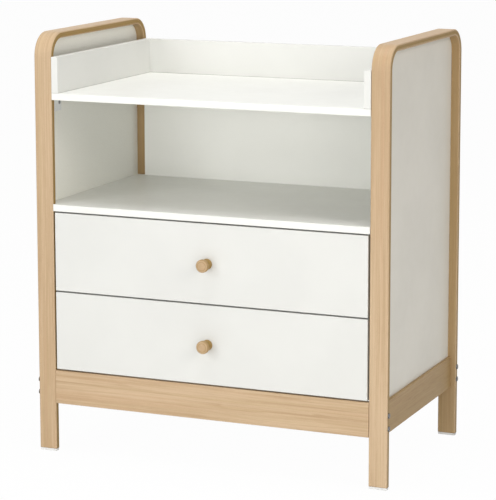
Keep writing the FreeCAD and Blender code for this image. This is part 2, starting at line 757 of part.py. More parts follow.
def make_leg_bolts():
    """A bolt through the leg into the rail's cross nut; its flat head has a hexagon socket."""
    bolt = new_body("leg_bolt", -half_width, front + sizes.strip_thickness / 2, lower_bolt)
    head = circle_drawing([(0, 0)], sizes.bolt_head_diameter / 2)
    shank = circle_drawing([(0, 0)], bolt_radius)
    reach = sizes.strip_width + gap + sizes.barrel_nut_inset + sizes.barrel_nut_diameter / 2
    pad(bolt, "x", head, sizes.bolt_head_height, towards=-1)
    soften(bolt, sizes.head_edge_radius, lambda edge: lies_on(edge, "x", -sizes.bolt_head_height))
    pad(bolt, "x", shank, reach)
    cut(bolt, "x", hexagon_drawing(0, 0, sizes.bolt_socket_size), sizes.bolt_socket_depth,
        at=-sizes.bolt_head_height)
    pair = repeat("leg_bolt_pair", bolt, [(0, 0, sizes.bolt_spacing)])
    keep(four_corners("leg_bolts", pair))


def make_barrel_nuts():
    """A round cross nut in the rail, threaded across for the bolt."""
    half = sizes.barrel_nut_length / 2
    nut = new_body("barrel_nut", -(inner_half - gap - sizes.barrel_nut_inset),
                   front + sizes.strip_thickness / 2, lower_bolt)
    pad(nut, "y", circle_drawing([(0, 0)], sizes.barrel_nut_diameter / 2), 2 * half, at=-half)
    drill(nut, "x", [(0, 0)], sizes.bolt_diameter, sizes.barrel_nut_diameter, both_ways=True)
    pair = repeat("barrel_nut_pair", nut, [(0, 0, sizes.bolt_spacing)])
    keep(four_corners("barrel_nuts", pair))


def new_dowel(label, x, z, diameter):
    """A dowel from the left front leg into what lies behind it."""
    dowel = new_body(label, x, front + sizes.strip_thickness - sizes.dowel_in_leg, z)
    length = sizes.dowel_in_leg + gap + sizes.dowel_in_rail
    pad(dowel, "y", circle_drawing([(0, 0)], diameter / 2), length)
    return dowel


def make_frame_dowels():
    low, _ = rail_dowel_heights()
    rail_dowel = new_dowel("rail_dowel", -(half_width - sizes.strip_width / 2), low,
                           sizes.rail_dowel_diameter)
    pair = repeat("rail_dowel_pair", rail_dowel, [(0, 0, sizes.rail_dowel_spacing)])
    keep(four_corners("side_rail_dowels", pair))
    low, _ = batten_dowel_heights(lower_front_foot)
    batten_dowel = new_dowel("batten_dowel", -(inner_half + recess_width / 2), low,
                             sizes.batten_dowel_diameter)
    rises = (sizes.batten_dowel_spacing, level_step, level_step + sizes.batten_dowel_spacing)
    column = repeat("batten_dowel_column", batten_dowel, [(0, 0, rise) for rise in rises])
    keep(four_corners("batten_dowels", column))


def block_screw_spot():
    """A block's screw: x from the dresser's middle, y from the front of the legs."""
    x = panel_face - gap - sizes.screw_head_diameter / 2 - 2 * gap
    y = sizes.strip_thickness + sizes.block_slot_setback + sizes.screw_head_diameter / 2
    return x, y


def at_both_levels(label, master):
    """A piece under the changing top, repeated under the shelf, at all four legs."""
    pair = repeat(label + "_levels", master, [(0, 0, shelf_underside - top_underside)])
    keep(four_corners(label, pair))


def make_corner_blocks():
    """Moulded blocks in the corners between leg, side panel and board; the cam pulls on the stud."""
    block = new_body("corner_block", -inner_half, front + sizes.strip_thickness, top_underside)
    deep, tall = sizes.block_depth, sizes.block_height
    pad(block, "z", box_drawing(-recess_width, 0, 0, deep), tall, towards=-1)
    soften(block, sizes.board_edge_radius, lambda edge: lies_on(edge, "y", deep))
    cut(block, "x", circle_drawing([(sizes.cam_setback, -sizes.cam_drop)], sizes.cam_diameter / 2 + gap),
        sizes.cam_depth + gap, towards=-1)
    drill(block, "y", [(-sizes.cam_depth / 2, -sizes.cam_drop)], sizes.stud_diameter, sizes.cam_setback)
    middle, half = sizes.block_slot_setback, sizes.block_slot_width / 2
    slot = box_drawing(middle - half, sizes.board_edge_radius - tall,
                       middle + half, sizes.block_slot_height - tall)
    cut(block, "x", slot, sizes.block_slot_depth, towards=-1)
    x, y = block_screw_spot()
    spot = [(inner_half - x, y - sizes.strip_thickness)]
    drill(block, "z", spot, sizes.screw_diameter, tall, at=-tall)
    drill(block, "z", spot, sizes.screw_head_diameter, sizes.block_screw_sink, at=-tall)
    at_both_levels("corner_blocks", block)


def make_block_cams():
    """A cam flush with the block's inner face: a square driver recess, and a hole for the stud."""
    cam = new_body("block_cam", -inner_half, front + sizes.strip_thickness + sizes.cam_setback,
                   top_underside - sizes.cam_drop)
    pad(cam, "x", circle_drawing([(0, 0)], sizes.cam_diameter / 2), sizes.cam_depth, towards=-1)
    half = sizes.cam_driver_size / 2
    cut(cam, "x", box_drawing(-half, -half, half, half), sizes.cam_driver_depth, towards=-1)
    drill(cam, "y", [(-sizes.cam_depth / 2, 0)], sizes.stud_diameter, sizes.cam_diameter / 2, towards=-1)
    at_both_levels("block_cams", cam)


def make_block_studs():
    stud = new_body("block_stud", -(inner_half + sizes.cam_depth / 2),
                    front + sizes.strip_thickness - sizes.dowel_in_leg, top_underside - sizes.cam_drop)
    length = sizes.dowel_in_leg + sizes.cam_setback - gap
    pad(stud, "y", circle_drawing([(0, 0)], sizes.stud_diameter / 2), length)
    at_both_levels("block_studs", stud)


def new_wood_screw(label, x, y, z, below, above):
    """An upright screw: z is the board's face that it enters, its head's top lies below that."""
    screw = new_body(label, x, y, z)
    head = circle_drawing([(0, 0)], sizes.screw_head_diameter / 2)
    pad(screw, "z", head, sizes.screw_head_height, at=-below, towards=-1)
    soften(screw, sizes.head_edge_radius,
           lambda edge: lies_on(edge, "z", -below - sizes.screw_head_height))
    pad(screw, "z", circle_drawing([(0, 0)], sizes.screw_diameter / 2), below + above, at=-below)
    return screw


def make_block_screws():
    x, y = block_screw_spot()
    below = sizes.block_height - sizes.block_screw_sink
    screw = new_wood_screw("block_screw", -x, front + y, top_underside, below, sizes.screw_in_board)
    at_both_levels("block_screws", screw)


def make_guard_screws():
    """Screws through the changing top into the guards, their heads sunk in its underside."""
    below = sizes.board_thickness - sizes.screw_head_height - gap / 2
    first_x, first_y = side_guard_screws()[0]
    screw = new_wood_screw("guard_screw", first_x, front + first_y, sizes.changing_height,
                           below, sizes.screw_in_guard)
    row = repeat("side_guard_screws", screw,
                 [(0, y - first_y, 0) for _, y in side_guard_screws()[1:]])
    sides = left_and_right("both_guard_screws", row)
    behind = [shifted(screw, x - first_x, y - first_y) for x, y in back_guard_screws()]
    keep(group("guard_screws", [sides] + behind))


# ---------------------------------------------------------------- runners and rollers

def make_batten(label, side, front_foot):
    """Fills the recess between leg plane and side panel, and carries a cabinet runner."""
    batten = new_body(label, -side * inner_half, front + sizes.strip_thickness + gap,
                      batten_foot(front_foot))
    tall, round_off = sizes.batten_height, sizes.rail_edge_radius
    length = between_legs - 2 * gap
    outer = -side * recess_width
    section = outline_drawing([(0, 0, round_off), (outer, 0, round_off),
                               (outer, tall, round_off), (0, tall, round_off)])
    pad(batten, "y", section, length)
    foot = batten_foot(front_foot)
    spots = [(outer / 2, z - foot) for z in batten_dowel_heights(front_foot)]
    drill_both_ends(batten, spots, sizes.batten_dowel_diameter, sizes.dowel_in_rail + gap, length)
    shift = sizes.runner_setback - sizes.strip_thickness - gap
    screws = [(y + shift, tall / 2) for y in runner_screw_places(runner_length)]
    drill(batten, "x", screws, sizes.runner_screw_diameter, sizes.runner_screw_length + gap,
          towards=-side)
    keep(batten)


def runner_screw_places(length):
    """Where the screws of a runner are, from its front end."""
    step = (length - 2 * sizes.runner_screw_inset) / (SCREWS_IN_RUNNER - 1)
    return [sizes.runner_screw_inset + step * number for number in range(SCREWS_IN_RUNNER)]


def runner_slots(length, height):
    """Slots with rounded ends, half way between the screws of a runner."""
    half_long, half_wide = sizes.runner_slot_length / 2, sizes.runner_slot_width / 2
    places = runner_screw_places(length)
    middles = [(near + far) / 2 for near, far in zip(places, places[1:])]
    slots = [box_drawing(y - half_long, height - half_wide, y + half_long, height + half_wide,
                         half_wide - gap) for y in middles]

    def draw_slots(sketch):
        for slot in slots:
            slot(sketch)

    return draw_slots


def front_axle_height():
    """The front roller's axle above the cabinet runner's foot."""
    return sizes.runner_sheet + 2 * gap + sizes.front_roller_diameter / 2


def rear_axle_height():
    """The rear roller's axle above the cabinet runner's foot: it rolls on the lower flange."""
    return sizes.runner_sheet + gap + sizes.rear_roller_diameter / 2


def track_height():
    """The underside of a drawer runner's upper flange, which rolls on the front roller."""
    return front_axle_height() + sizes.front_roller_diameter / 2 + gap


def roller_span():
    """A front roller's two faces, inwards from the cabinet runner's web."""
    near = sizes.runner_sheet + gap
    return near, near + sizes.roller_width


def add_axle(body, y, z, start, way, length):
    """A rivet along X that stands on a runner's web and ends in a closed head."""
    pin = circle_drawing([(y, z)], sizes.axle_diameter / 2)
    head = circle_drawing([(y, z)], sizes.axle_head_diameter / 2)
    pad(body, "x", pin, length, at=start, towards=way)
    pad(body, "x", head, sizes.axle_head_height, at=start + length * way, towards=way)


def make_cabinet_runner(label, side, front_foot):
    """A rolled channel on the batten, with the front roller's axle."""
    runner = new_body(label, -side * inner_half, front + sizes.runner_setback, runner_foot(front_foot))
    sheet, tall = sizes.runner_sheet, sizes.channel_height
    lip, shelf = side * sizes.channel_lip, side * sizes.channel_shelf
    web = side * sheet
    inner_bend, outer_bend = sheet, 2 * sheet
    section = outline_drawing([
        (0, 0, outer_bend), (shelf, 0), (shelf, sheet), (web, sheet, inner_bend),
        (web, tall - sheet, inner_bend), (lip, tall - sheet), (lip, tall), (0, tall, outer_bend),
    ])
    pad(runner, "y", section, runner_length)
    places = [(y, tall / 2) for y in runner_screw_places(runner_length)]
    drill(runner, "x", places, sizes.runner_screw_diameter, sheet, towards=side)
    cut(runner, "x", runner_slots(runner_length, tall / 2), sheet, towards=side)
    near, far = roller_span()
    add_axle(runner, sizes.roller_inset, front_axle_height(), web, side, far + gap - sheet)
    keep(runner)


def make_drawer_runner(label, side, front_foot):
    """A rolled profile on the drawer side: hem below it, track above, and the rear roller's axle."""
    outer_face = drawer_half + gap
    runner = new_body(label, -side * outer_face, behind_front + gap, runner_foot(front_foot))
    sheet = sizes.runner_sheet
    low, high = sizes.hem_rise, track_height() + sheet
    length = drawer_side_length - gap
    web = outline_drawing([
        (-side * sheet, low, sheet), (side * (sizes.hem_width + gap), low),
        (side * (sizes.hem_width + gap), low + sheet), (0, low + sheet), (0, high),
        (-side * sheet, high),
    ])
    pad(runner, "y", web, length)
    track = box_drawing(-side * (sizes.track_width + sheet), track_height(), -side * sheet / 2, high)
    pad(runner, "y", track, length - 2 * sizes.roller_inset)
    screws = [(side * (gap + hem_screw_setback), y) for y in runner_screw_places(length)]
    drill(runner, "z", screws, sizes.runner_screw_diameter, sheet, at=low)
    cut(runner, "x", runner_slots(length, (low + high) / 2), sheet, towards=-side)
    add_axle(runner, length - sizes.roller_inset, rear_axle_height(), -side * sheet, -side,
             sizes.roller_width + 2 * gap)
    keep(runner)


def make_roller_pair(label, diameter, inner_face, y, z):
    """The left and right rollers on one line; inner_face is from the middle to a roller's inner face."""
    roller = new_body(label + "_left", -inner_face, y, z)
    pad(roller, "x", circle_drawing([(0, 0)], diameter / 2), sizes.roller_width, towards=-1)
    soften(roller, sizes.roller_edge_radius, lambda edge: True)
    drill(roller, "x", [(0, 0)], sizes.axle_diameter, sizes.roller_width, towards=-1)
    keep(left_and_right(label, roller))


def make_rollers(level, front_foot):
    foot = runner_foot(front_foot)
    _, far = roller_span()
    make_roller_pair(level + "_front_rollers", sizes.front_roller_diameter, inner_half - far,
                     front + sizes.runner_setback + sizes.roller_inset, foot + front_axle_height())
    web_face = drawer_half + gap + sizes.runner_sheet
    length = drawer_side_length - gap
    make_roller_pair(level + "_rear_rollers", sizes.rear_roller_diameter, web_face + gap,
                     behind_front + gap + length - sizes.roller_inset, foot + rear_axle_height())


def new_runner_screw(label, axis, x, y, z, way, sheet_side):
    """A short screw along an axis: x, y, z is the middle of its head's inner face."""
    screw = new_body(label, x, y, z)
    head = circle_drawing([(0, 0)], sizes.runner_screw_head / 2)
    pad(screw, axis, head, sizes.runner_screw_head_height, towards=-way)
    shank = circle_drawing([(0, 0)], sizes.runner_screw_diameter / 2)
    pad(screw, axis, shank, sizes.runner_screw_length + sheet_side, towards=way)
    return screw


def make_cabinet_runner_screws():
    """Screws through the cabinet runners' webs into the battens, both levels."""
    places = runner_screw_places(runner_length)
    screw = new_runner_screw("cabinet_runner_screw", "x", -(inner_half - sizes.runner_sheet - gap / 2),
                             front + sizes.runner_setback + places[0],
                             runner_foot(lower_front_foot) + sizes.channel_height / 2,
                             -1, sizes.runner_sheet)
    row = repeat("cabinet_runner_screw_row", screw, [(0, y - places[0], 0) for y in places[1:]])
    levels = repeat("cabinet_runner_screw_levels", row, [(0, 0, level_step)])
    keep(left_and_right("cabinet_runner_screws", levels))


# ---------------------------------------------------------------- drawers

def make_drawer_front(level, front_foot):
    """A flat front, grooved behind for the bottom, with holes for dowels and the knob's screw."""
    panel = new_body(level + "_drawer_front", 0, front, front_foot)
    half, tall, thick = front_width / 2, front_height, sizes.board_thickness
    pad(panel, "y", box_drawing(-half, 0, half, tall), thick)
    soften(panel, sizes.front_edge_radius, lambda edge: lies_on(edge, "y", 0))
    foot = sizes.drawer_side_rise + sizes.drawer_bottom_rise
    reach = drawer_inner_half + sizes.board_groove_depth
    groove = box_drawing(-reach, foot, reach, foot + sizes.drawer_bottom_thickness + gap)
    cut(panel, "y", groove, sizes.board_groove_depth, at=thick, towards=-1)
    side_middle = drawer_half - sizes.drawer_side_thickness / 2
    spots = [(x, z + sizes.drawer_side_rise) for x in (-side_middle, side_middle)
             for z in drawer_dowel_heights()]
    drill(panel, "y", spots, sizes.drawer_dowel_diameter, sizes.drawer_dowel_in_front + gap,
          at=thick, towards=-1)
    drill(panel, "y", [(0, tall / 2)], sizes.screw_diameter, thick)
    keep(panel)


def drawer_dowel_heights():
    """The two dowels of a joint, above the drawer sides' lower edge."""
    return (sizes.drawer_dowel_rise, sizes.drawer_dowel_rise + sizes.drawer_dowel_spacing)


def make_drawer_side(level, name, side, front_foot):
    """A side with a groove for the bottom; it butts against the front."""
    panel = new_body("%s_drawer_side_%s" % (level, name), -side * drawer_half,
                     behind_front + gap / 2, side_foot(front_foot))
    thick, tall, edge = sizes.drawer_side_thickness, sizes.drawer_side_height, sizes.board_edge_radius
    low = sizes.drawer_bottom_rise
    high = low + sizes.drawer_bottom_thickness + gap
    inner, floor = side * thick, side * (thick - sizes.board_groove_depth)
    section = outline_drawing([
        (0, 0), (inner, 0), (inner, low), (floor, low), (floor, high), (inner, high),
        (inner, tall, edge), (0, tall, edge),
    ])
    length = drawer_side_length
    pad(panel, "y", section, length)
    drill(panel, "y", [(inner / 2, z) for z in drawer_dowel_heights()],
          sizes.drawer_dowel_diameter, sizes.drawer_dowel_in_side + gap)
    behind = length - thick / 2
    drill(panel, "x", [(behind, z) for z in drawer_dowel_heights()],
          sizes.drawer_dowel_diameter, sizes.drawer_dowel_in_front, at=inner, towards=-side)
    screws = [(side * hem_screw_setback, y + gap / 2) for y in runner_screw_places(length - gap)]
    drill(panel, "z", screws, sizes.runner_screw_diameter, sizes.runner_screw_length + gap)
    keep(panel)


def make_drawer_back(level, front_foot):
    """The back stands on the bottom, between the sides."""
    reach = drawer_inner_half - gap
    thick = sizes.drawer_side_thickness
    foot = sizes.drawer_bottom_rise + sizes.drawer_bottom_thickness + gap
    panel = new_body(level + "_drawer_back", -reach,
                     behind_front + gap / 2 + drawer_side_length - thick,
                     side_foot(front_foot) + foot)
    tall, edge = sizes.drawer_side_height - foot, sizes.board_edge_radius
    section = outline_drawing([(0, 0), (thick, 0), (thick, tall, edge), (0, tall, edge)])
    pad(panel, "x", section, 2 * reach)
    spots = [(thick / 2, z - foot) for z in drawer_dowel_heights()]
    depth = sizes.drawer_dowel_in_side + gap
    drill(panel, "x", spots, sizes.drawer_dowel_diameter, depth)
    drill(panel, "x", spots, sizes.drawer_dowel_diameter, depth, at=2 * reach, towards=-1)
    keep(panel)


def make_drawer_bottom(level, front_foot):
    """Slides in from behind, in the grooves of the sides and the front."""
    reach = drawer_inner_half + sizes.board_groove_depth - gap
    near = behind_front - sizes.board_groove_depth + gap
    panel = new_body(level + "_drawer_bottom", 0, near, side_foot(front_foot) + sizes.drawer_bottom_rise)
    length = behind_front + drawer_side_length - near
    pad(panel, "z", box_drawing(-reach, 0, reach, length), sizes.drawer_bottom_thickness)
    keep(panel)


def make_drawer_dowels(level, front_foot):
    """Two dowels in each of a drawer's four corner joints."""
    side_middle = drawer_half - sizes.drawer_side_thickness / 2
    foot = side_foot(front_foot)
    low, _ = drawer_dowel_heights()
    endways = new_body(level + "_front_dowel", -side_middle, behind_front - sizes.drawer_dowel_in_front,
                       foot + low)
    length = sizes.drawer_dowel_in_front + sizes.drawer_dowel_in_side
    pad(endways, "y", circle_drawing([(0, 0)], sizes.drawer_dowel_diameter / 2), length)
    start = drawer_inner_half + sizes.drawer_dowel_in_front - gap
    crossways = new_body(level + "_back_dowel", -start,
                         behind_front + gap / 2 + drawer_side_length
                         - sizes.drawer_side_thickness / 2, foot + low)
    pad(crossways, "x", circle_drawing([(0, 0)], sizes.drawer_dowel_diameter / 2), length - gap)
    rise = [(0, 0, sizes.drawer_dowel_spacing)]
    pairs = [repeat(dowel.Label + "_pair", dowel, rise) for dowel in (endways, crossways)]
    keep(left_and_right(level + "_drawer_dowels", group(level + "_left_dowels", pairs)))


def knob_profile():
    """Half the knob's outline: forwards along its axis is negative, then the radius."""
    long, disc, rim = sizes.knob_length, sizes.knob_disc_thickness, sizes.knob_rim_radius
    base, neck = sizes.knob_base_diameter / 2, sizes.knob_neck_diameter / 2
    wide = sizes.knob_diameter / 2
    rise = sizes.knob_dome_rise
    foot = sizes.knob_foot_thickness
    waist = (long - disc + foot) / 2
    reach = waist - foot
    face = wide - rim
    return [
        (0, 0, None),
        (0, base, None),
        (-foot, base, (level_bend(reach, base - neck), -1)),
        (-waist, neck, (level_bend(reach, face - neck), -1)),
        (disc - long, face, (rim, 1)),
        (disc - long - rim, wide, None),
        (rise + rim - long, wide, (rim, 1)),
        (rise - long, face, (level_bend(face, rise), 1)),
        (-long, 0, None),
    ]


def level_bend(reach, rise):
    """The radius of an arc that is level at one end and gains this rise over this reach."""
    return (reach * reach + rise * rise) / (2 * rise)


def make_knob(level, front_foot):
    """A turned beech knob: foot, waist, and a disc with a rounded rim and a shallow dome."""
    knob = new_body(level + "_drawer_knob", 0, front, front_foot + front_height / 2)
    sketch = new_sketch(knob, "x")
    draw_profile(sketch, knob_profile())
    turned = knob.newObject("PartDesign::Revolution", knob.Label + "_turned")
    turned.Profile = sketch
    turned.ReferenceAxis = (sketch, ["H_Axis"])
    turned.Angle = 2 * HALF_TURN
    drill(knob, "y", [(0, 0)], sizes.screw_diameter, sizes.knob_screw_depth + gap, towards=-1)
    keep(knob)


def make_knob_screw(level, front_foot):
    """From inside the drawer, through the front, into the knob."""
    screw = new_body(level + "_knob_screw", 0, behind_front, front_foot + front_height / 2)
    pad(screw, "y", circle_drawing([(0, 0)], sizes.screw_head_diameter / 2), sizes.screw_head_height)
    soften(screw, sizes.head_edge_radius, lambda edge: lies_on(edge, "y", sizes.screw_head_height))
    pad(screw, "y", circle_drawing([(0, 0)], sizes.screw_diameter / 2),
        sizes.board_thickness + sizes.knob_screw_depth, towards=-1)
    keep(screw)


def make_drawer_runner_screws(level, front_foot):
    """Screws up through the hems into the drawer sides."""
    places = runner_screw_places(drawer_side_length - gap)
    x = hem_screw_setback - drawer_half
    screw = new_runner_screw(level + "_drawer_runner_screw", "z", x, behind_front + gap + places[0],
                             side_foot(front_foot) - sizes.runner_sheet - gap / 2, 1, sizes.runner_sheet)
    row = repeat(level + "_drawer_runner_screw_row", screw, [(0, y - places[0], 0) for y in places[1:]])
    keep(left_and_right(level + "_drawer_runner_screws", row))


def make_drawer(level, front_foot):
    make_drawer_front(level, front_foot)
    for name, side in (("left", LEFT), ("right", RIGHT)):
        make_drawer_side(level, name, side, front_foot)
        make_drawer_runner("%s_drawer_runner_%s" % (level, name), side, front_foot)
    make_drawer_back(level, front_foot)
    make_drawer_bottom(level, front_foot)
    make_drawer_dowels(level, front_foot)
    make_knob(level, front_foot)
    make_knob_screw(level, front_foot)
    make_drawer_runner_screws(level, front_foot)


# ---------------------------------------------------------------- the whole dresser

def make_frame():
    for name, side in (("left", LEFT), ("right", RIGHT)):
        make_hoop("hoop_" + name, side)
        make_side_panel("side_panel_" + name, side)
        make_side_rail("side_rail_" + name, side)
        make_side_guard("guard_" + name, side)
    make_cross_rail("front_rail", 0)
    make_cross_rail("back_rail", HALF_TURN)
    make_shelf()
    make_changing_top()
    make_back_guard()
    make_back_panels()
    make_glides()
    make_leg_bolts()
    make_barrel_nuts()
    make_frame_dowels()
    make_corner_blocks()
    make_block_cams()
    make_block_studs()
    make_block_screws()
    make_guard_screws()


def make_runners():
    for level, front_foot in (("lower", lower_front_foot), ("upper", upper_front_foot)):
        for name, side in (("left", LEFT), ("right", RIGHT)):
            make_batten("runner_batten_%s_%s" % (level, name), side, front_foot)
            make_cabinet_runner("cabinet_runner_%s_%s" % (level, name), side, front_foot)
        make_rollers(level, front_foot)
    make_cabinet_runner_screws()


def check_objects():
    """No object may have failed, and every finished piece has a sound shape."""
    doc.recompute()
    for thing in doc.Objects:
        if "Invalid" in thing.State or "Error" in thing.State:
            raise RuntimeError("%s failed: %s" % (thing.Label, thing.State))
    for piece in finished:
        if piece.Shape.isNull() or not piece.Shape.isValid() or not piece.Shape.Solids:
            raise RuntimeError("%s has no sound shape" % piece.Label)


def write_pieces():
    os.makedirs("parts", exist_ok=True)
    for piece in finished:
        piece.Shape.exportStep("parts/%s.step" % piece.Label)
    print("wrote %d pieces" % len(finished))


make_frame()
make_runners()
make_drawer("upper", upper_front_foot)
make_drawer("lower", lower_front_foot)
check_objects()
write_pieces()
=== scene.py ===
import json
import math

import bmesh
import bpy
from bpy.props import FloatProperty, FloatVectorProperty, IntProperty, PointerProperty
from mathutils import Matrix, Vector


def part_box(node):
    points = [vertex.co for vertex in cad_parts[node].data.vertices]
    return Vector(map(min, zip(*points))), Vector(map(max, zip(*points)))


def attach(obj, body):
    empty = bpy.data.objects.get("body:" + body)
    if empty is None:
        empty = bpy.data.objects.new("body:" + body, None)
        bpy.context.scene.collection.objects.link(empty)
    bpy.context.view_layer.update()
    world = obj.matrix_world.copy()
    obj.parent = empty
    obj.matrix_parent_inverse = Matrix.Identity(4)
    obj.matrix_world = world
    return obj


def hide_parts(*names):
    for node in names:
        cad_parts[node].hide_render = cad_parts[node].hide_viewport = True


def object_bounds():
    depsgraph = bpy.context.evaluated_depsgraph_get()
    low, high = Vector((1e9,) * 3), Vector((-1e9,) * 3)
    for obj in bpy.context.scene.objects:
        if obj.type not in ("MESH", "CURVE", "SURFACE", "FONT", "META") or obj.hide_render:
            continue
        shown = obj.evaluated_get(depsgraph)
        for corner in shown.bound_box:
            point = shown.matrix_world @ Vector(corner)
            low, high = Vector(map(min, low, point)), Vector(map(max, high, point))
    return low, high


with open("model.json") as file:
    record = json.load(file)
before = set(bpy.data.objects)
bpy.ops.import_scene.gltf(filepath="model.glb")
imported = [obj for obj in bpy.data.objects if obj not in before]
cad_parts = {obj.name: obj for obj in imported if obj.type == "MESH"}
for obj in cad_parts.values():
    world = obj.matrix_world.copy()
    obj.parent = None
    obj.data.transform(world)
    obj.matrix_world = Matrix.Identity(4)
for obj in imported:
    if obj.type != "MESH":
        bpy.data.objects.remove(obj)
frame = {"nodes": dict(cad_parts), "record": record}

bl_info = {
    "name": "Changing Dresser",
    "version": (1, 0, 0),
    "blender": (4, 5, 0),
    "location": "View3D > Sidebar > Dresser",
    "description": "Finishes the changing dresser: beech hoops, white boards, runners, hardware and studio",
    "category": "Object",
}

CAD_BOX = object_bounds()
NODES = frame["nodes"]
BODIES = frame["record"]["behaviour"]["bodies"]
NODE_BODY = {node: body for body, members in BODIES.items() for node in members}
FINISH_OF = {piece["node"]: piece["material_slot"] for piece in frame["record"]["subparts"]}


# ---------------------------------------------------------------- settings
# Lengths are in metres, colours are linear.


def colour(name, description, default):
    return FloatVectorProperty(
        name=name, description=description, default=default, subtype="COLOR", size=3, min=0, max=1
    )


def length(name, description, default, low):
    return FloatProperty(
        name=name, description=description, default=default, min=low, unit="LENGTH", precision=5
    )


def share(name, description, default):
    return FloatProperty(name=name, description=description, default=default, min=0, max=1, subtype="FACTOR")


def angle(name, description, degrees):
    return FloatProperty(name=name, description=description, default=math.radians(degrees), subtype="ANGLE")


def power(name, description, watts):
    return FloatProperty(name=name, description=description, default=watts, min=0, unit="POWER")


class BeechSettings(bpy.types.PropertyGroup):
    pale: colour("Pale wood", "Lightest tone of the beech", (0.600, 0.446, 0.290))
    dark: colour("Dark wood", "Tone of the darker streaks", (0.478, 0.332, 0.196))
    olive: colour("Olive drift", "Tone that the wood drifts to in broad olive streaks", (0.47, 0.37, 0.17))
    rosy: colour("Rosy drift", "Tone that the wood drifts to in broad rosy streaks", (0.60, 0.36, 0.22))
    fleck: colour("Fleck", "Tone of the short ray flecks", (0.270, 0.150, 0.070))
    # Edge wood is also the tone of the painted shade on the hoops' inner sides and inner faces and on the
    # knobs' grooves, rims and necks.
    edge: colour("Edge wood", "Tone of the veneers' edges on a hoop's sides", (0.290, 0.180, 0.042))
    # The side rails are mixed towards this darker, more olive tone as painted shade.
    rail_shade: colour("Shaded rail wood", "Darker, more olive beech of the side rails", (0.282, 0.182, 0.036))
    # Glue line is also the tone of the painted shade at the legs' feet.
    glue: colour("Glue line", "Tone of the glue between two veneers", (0.230, 0.135, 0.065))
    veneer: length("Veneer", "Thickness of one bent veneer of a hoop", 0.0019, 0.0005)
    bend_radius: length("Bend radius", "Outer radius of a hoop's two upper bends", 0.055, 0.02)
    strip: length("Strip", "Thickness of a hoop's glued strip", 0.015, 0.005)
    gloss: share("Roughness", "Roughness of the satin lacquer on the beech", 0.42)


class WhiteSettings(bpy.types.PropertyGroup):
    # Fronts, guards and boards are the same white; the darker tones of the fronts and guards are painted
    # shade.
    front: colour("Fronts", "Lacquered drawer fronts", (0.722, 0.724, 0.695))
    guard: colour("Guards", "Lacquered guards round the changing surface", (0.742, 0.744, 0.714))
    board: colour("Boards", "Foiled top and shelf", (0.845, 0.847, 0.808))
    # The panels' inner faces and the back panels stand in the compartment's shade and get lighter tones than
    # the outer faces: painted light.
    panel: colour("Side panels, outside", "Outer faces of the panels in the hoops", (0.755, 0.732, 0.668))
    panel_inside: colour("Side panels, inside", "Their inner faces", (0.900, 0.898, 0.836))
    back: colour("Back panels", "Panels behind the compartment and the drawers", (0.930, 0.932, 0.885))
    box: colour("Drawer boxes", "Foil on the drawer sides, backs and bottoms", (0.790, 0.785, 0.740))
    pore: colour("Printed pores", "Pores printed on the drawer boxes' foil", (0.60, 0.58, 0.52))
    plastic: colour("Fittings", "Moulded glides and corner blocks", (0.780, 0.785, 0.775))
    joint: colour("Joint", "Shade in the joint under the guards", (0.30, 0.29, 0.26))
    pocket: colour("Pocket", "Shade in the slots of the corner blocks", (0.10, 0.10, 0.09))
    gloss: share("Roughness", "Roughness of the white lacquer", 0.40)


class HardwareSettings(bpy.types.PropertyGroup):
    runner: colour("Runner coat", "Powder coat on the drawer runners", (0.740, 0.740, 0.715))
    roller: colour("Rollers", "Moulded rollers", (0.700, 0.700, 0.660))
    zinc: colour("Zinc", "Zinc plating on screws and nuts", (0.330, 0.325, 0.320))
    bolt: colour("Bolts", "Nickel plating on the bolts in the legs", (0.165, 0.160, 0.155))
    cam: colour("Die casting", "Cam locks of the corner blocks", (0.400, 0.400, 0.405))
    sides: IntProperty(
        name="Facets", description="Facets round a thread; a head has twice as many", default=12, min=8
    )


class StudioSettings(bpy.types.PropertyGroup):
    place: FloatVectorProperty(
        name="Camera", description="Place of the camera", default=(2.01220, -4.73248, 1.45144),
        subtype="TRANSLATION",
    )
    turn: angle("Turn", "Camera's turn about the upright", 23.034)
    tilt: angle("Tilt", "Camera's tilt below the level", 8.856)
    roll: angle("Roll", "Camera's roll about its own axis", 0.080)
    lens: FloatProperty(name="Lens", description="Focal length", default=159.54, min=10, unit="CAMERA")
    rise: FloatProperty(name="Shift", description="Shift of the picture upwards", default=-0.15)
    sky: share("Room light", "Strength of the white room's even light", 0.20)
    front: power("Front lamp", "Power of the soft lamp in front", 54.0)
    left: power("Left lamp", "Power of the soft lamp in front, to the left", 40.0)
    key: power("Key lamp", "Power of the lamp in front, high on the left", 48.0)
    fill: power("Fill lamp", "Power of the soft lamp to the front right", 38.0)
    side: power("Side lamp", "Power of the soft lamp at the right", 72.0)
    top: power("Top lamp", "Power of the soft lamp overhead", 84.0)
    warmth: colour("Side lamp tint", "Slightly warm light from the right", (1.0, 0.955, 0.88))
    floor: colour("Floor", "Pale studio floor", (0.860, 0.860, 0.855))


class DresserSettings(bpy.types.PropertyGroup):
    beech: PointerProperty(type=BeechSettings)
    white: PointerProperty(type=WhiteSettings)
    hardware: PointerProperty(type=HardwareSettings)
    studio: PointerProperty(type=StudioSettings)


# ---------------------------------------------------------------- shader sums


class Wire:
    """A socket that can be used in sums: each sum adds its own Math node."""

    def __init__(self, finish, socket):
        self.finish = finish
        self.socket = socket

    def maths(self, operation, *others):
        return self.finish.node("Math", {"operation": operation}, dict(enumerate((self, *others))))

    def __add__(self, other):
        return self.maths("ADD", other)

    __radd__ = __add__

    def __sub__(self, other):
        return self.maths("SUBTRACT", other)

    def __rsub__(self, other):
        return self.finish.node("Math", {"operation": "SUBTRACT"}, {0: other, 1: self})

    def __mul__(self, other):
        return self.maths("MULTIPLY", other)

    __rmul__ = __mul__

    def __truediv__(self, other):
        return self.maths("DIVIDE", other)

    def __rtruediv__(self, other):
        return self.finish.node("Math", {"operation": "DIVIDE"}, {0: other, 1: self})

    def __abs__(self):
        return self.maths("ABSOLUTE")


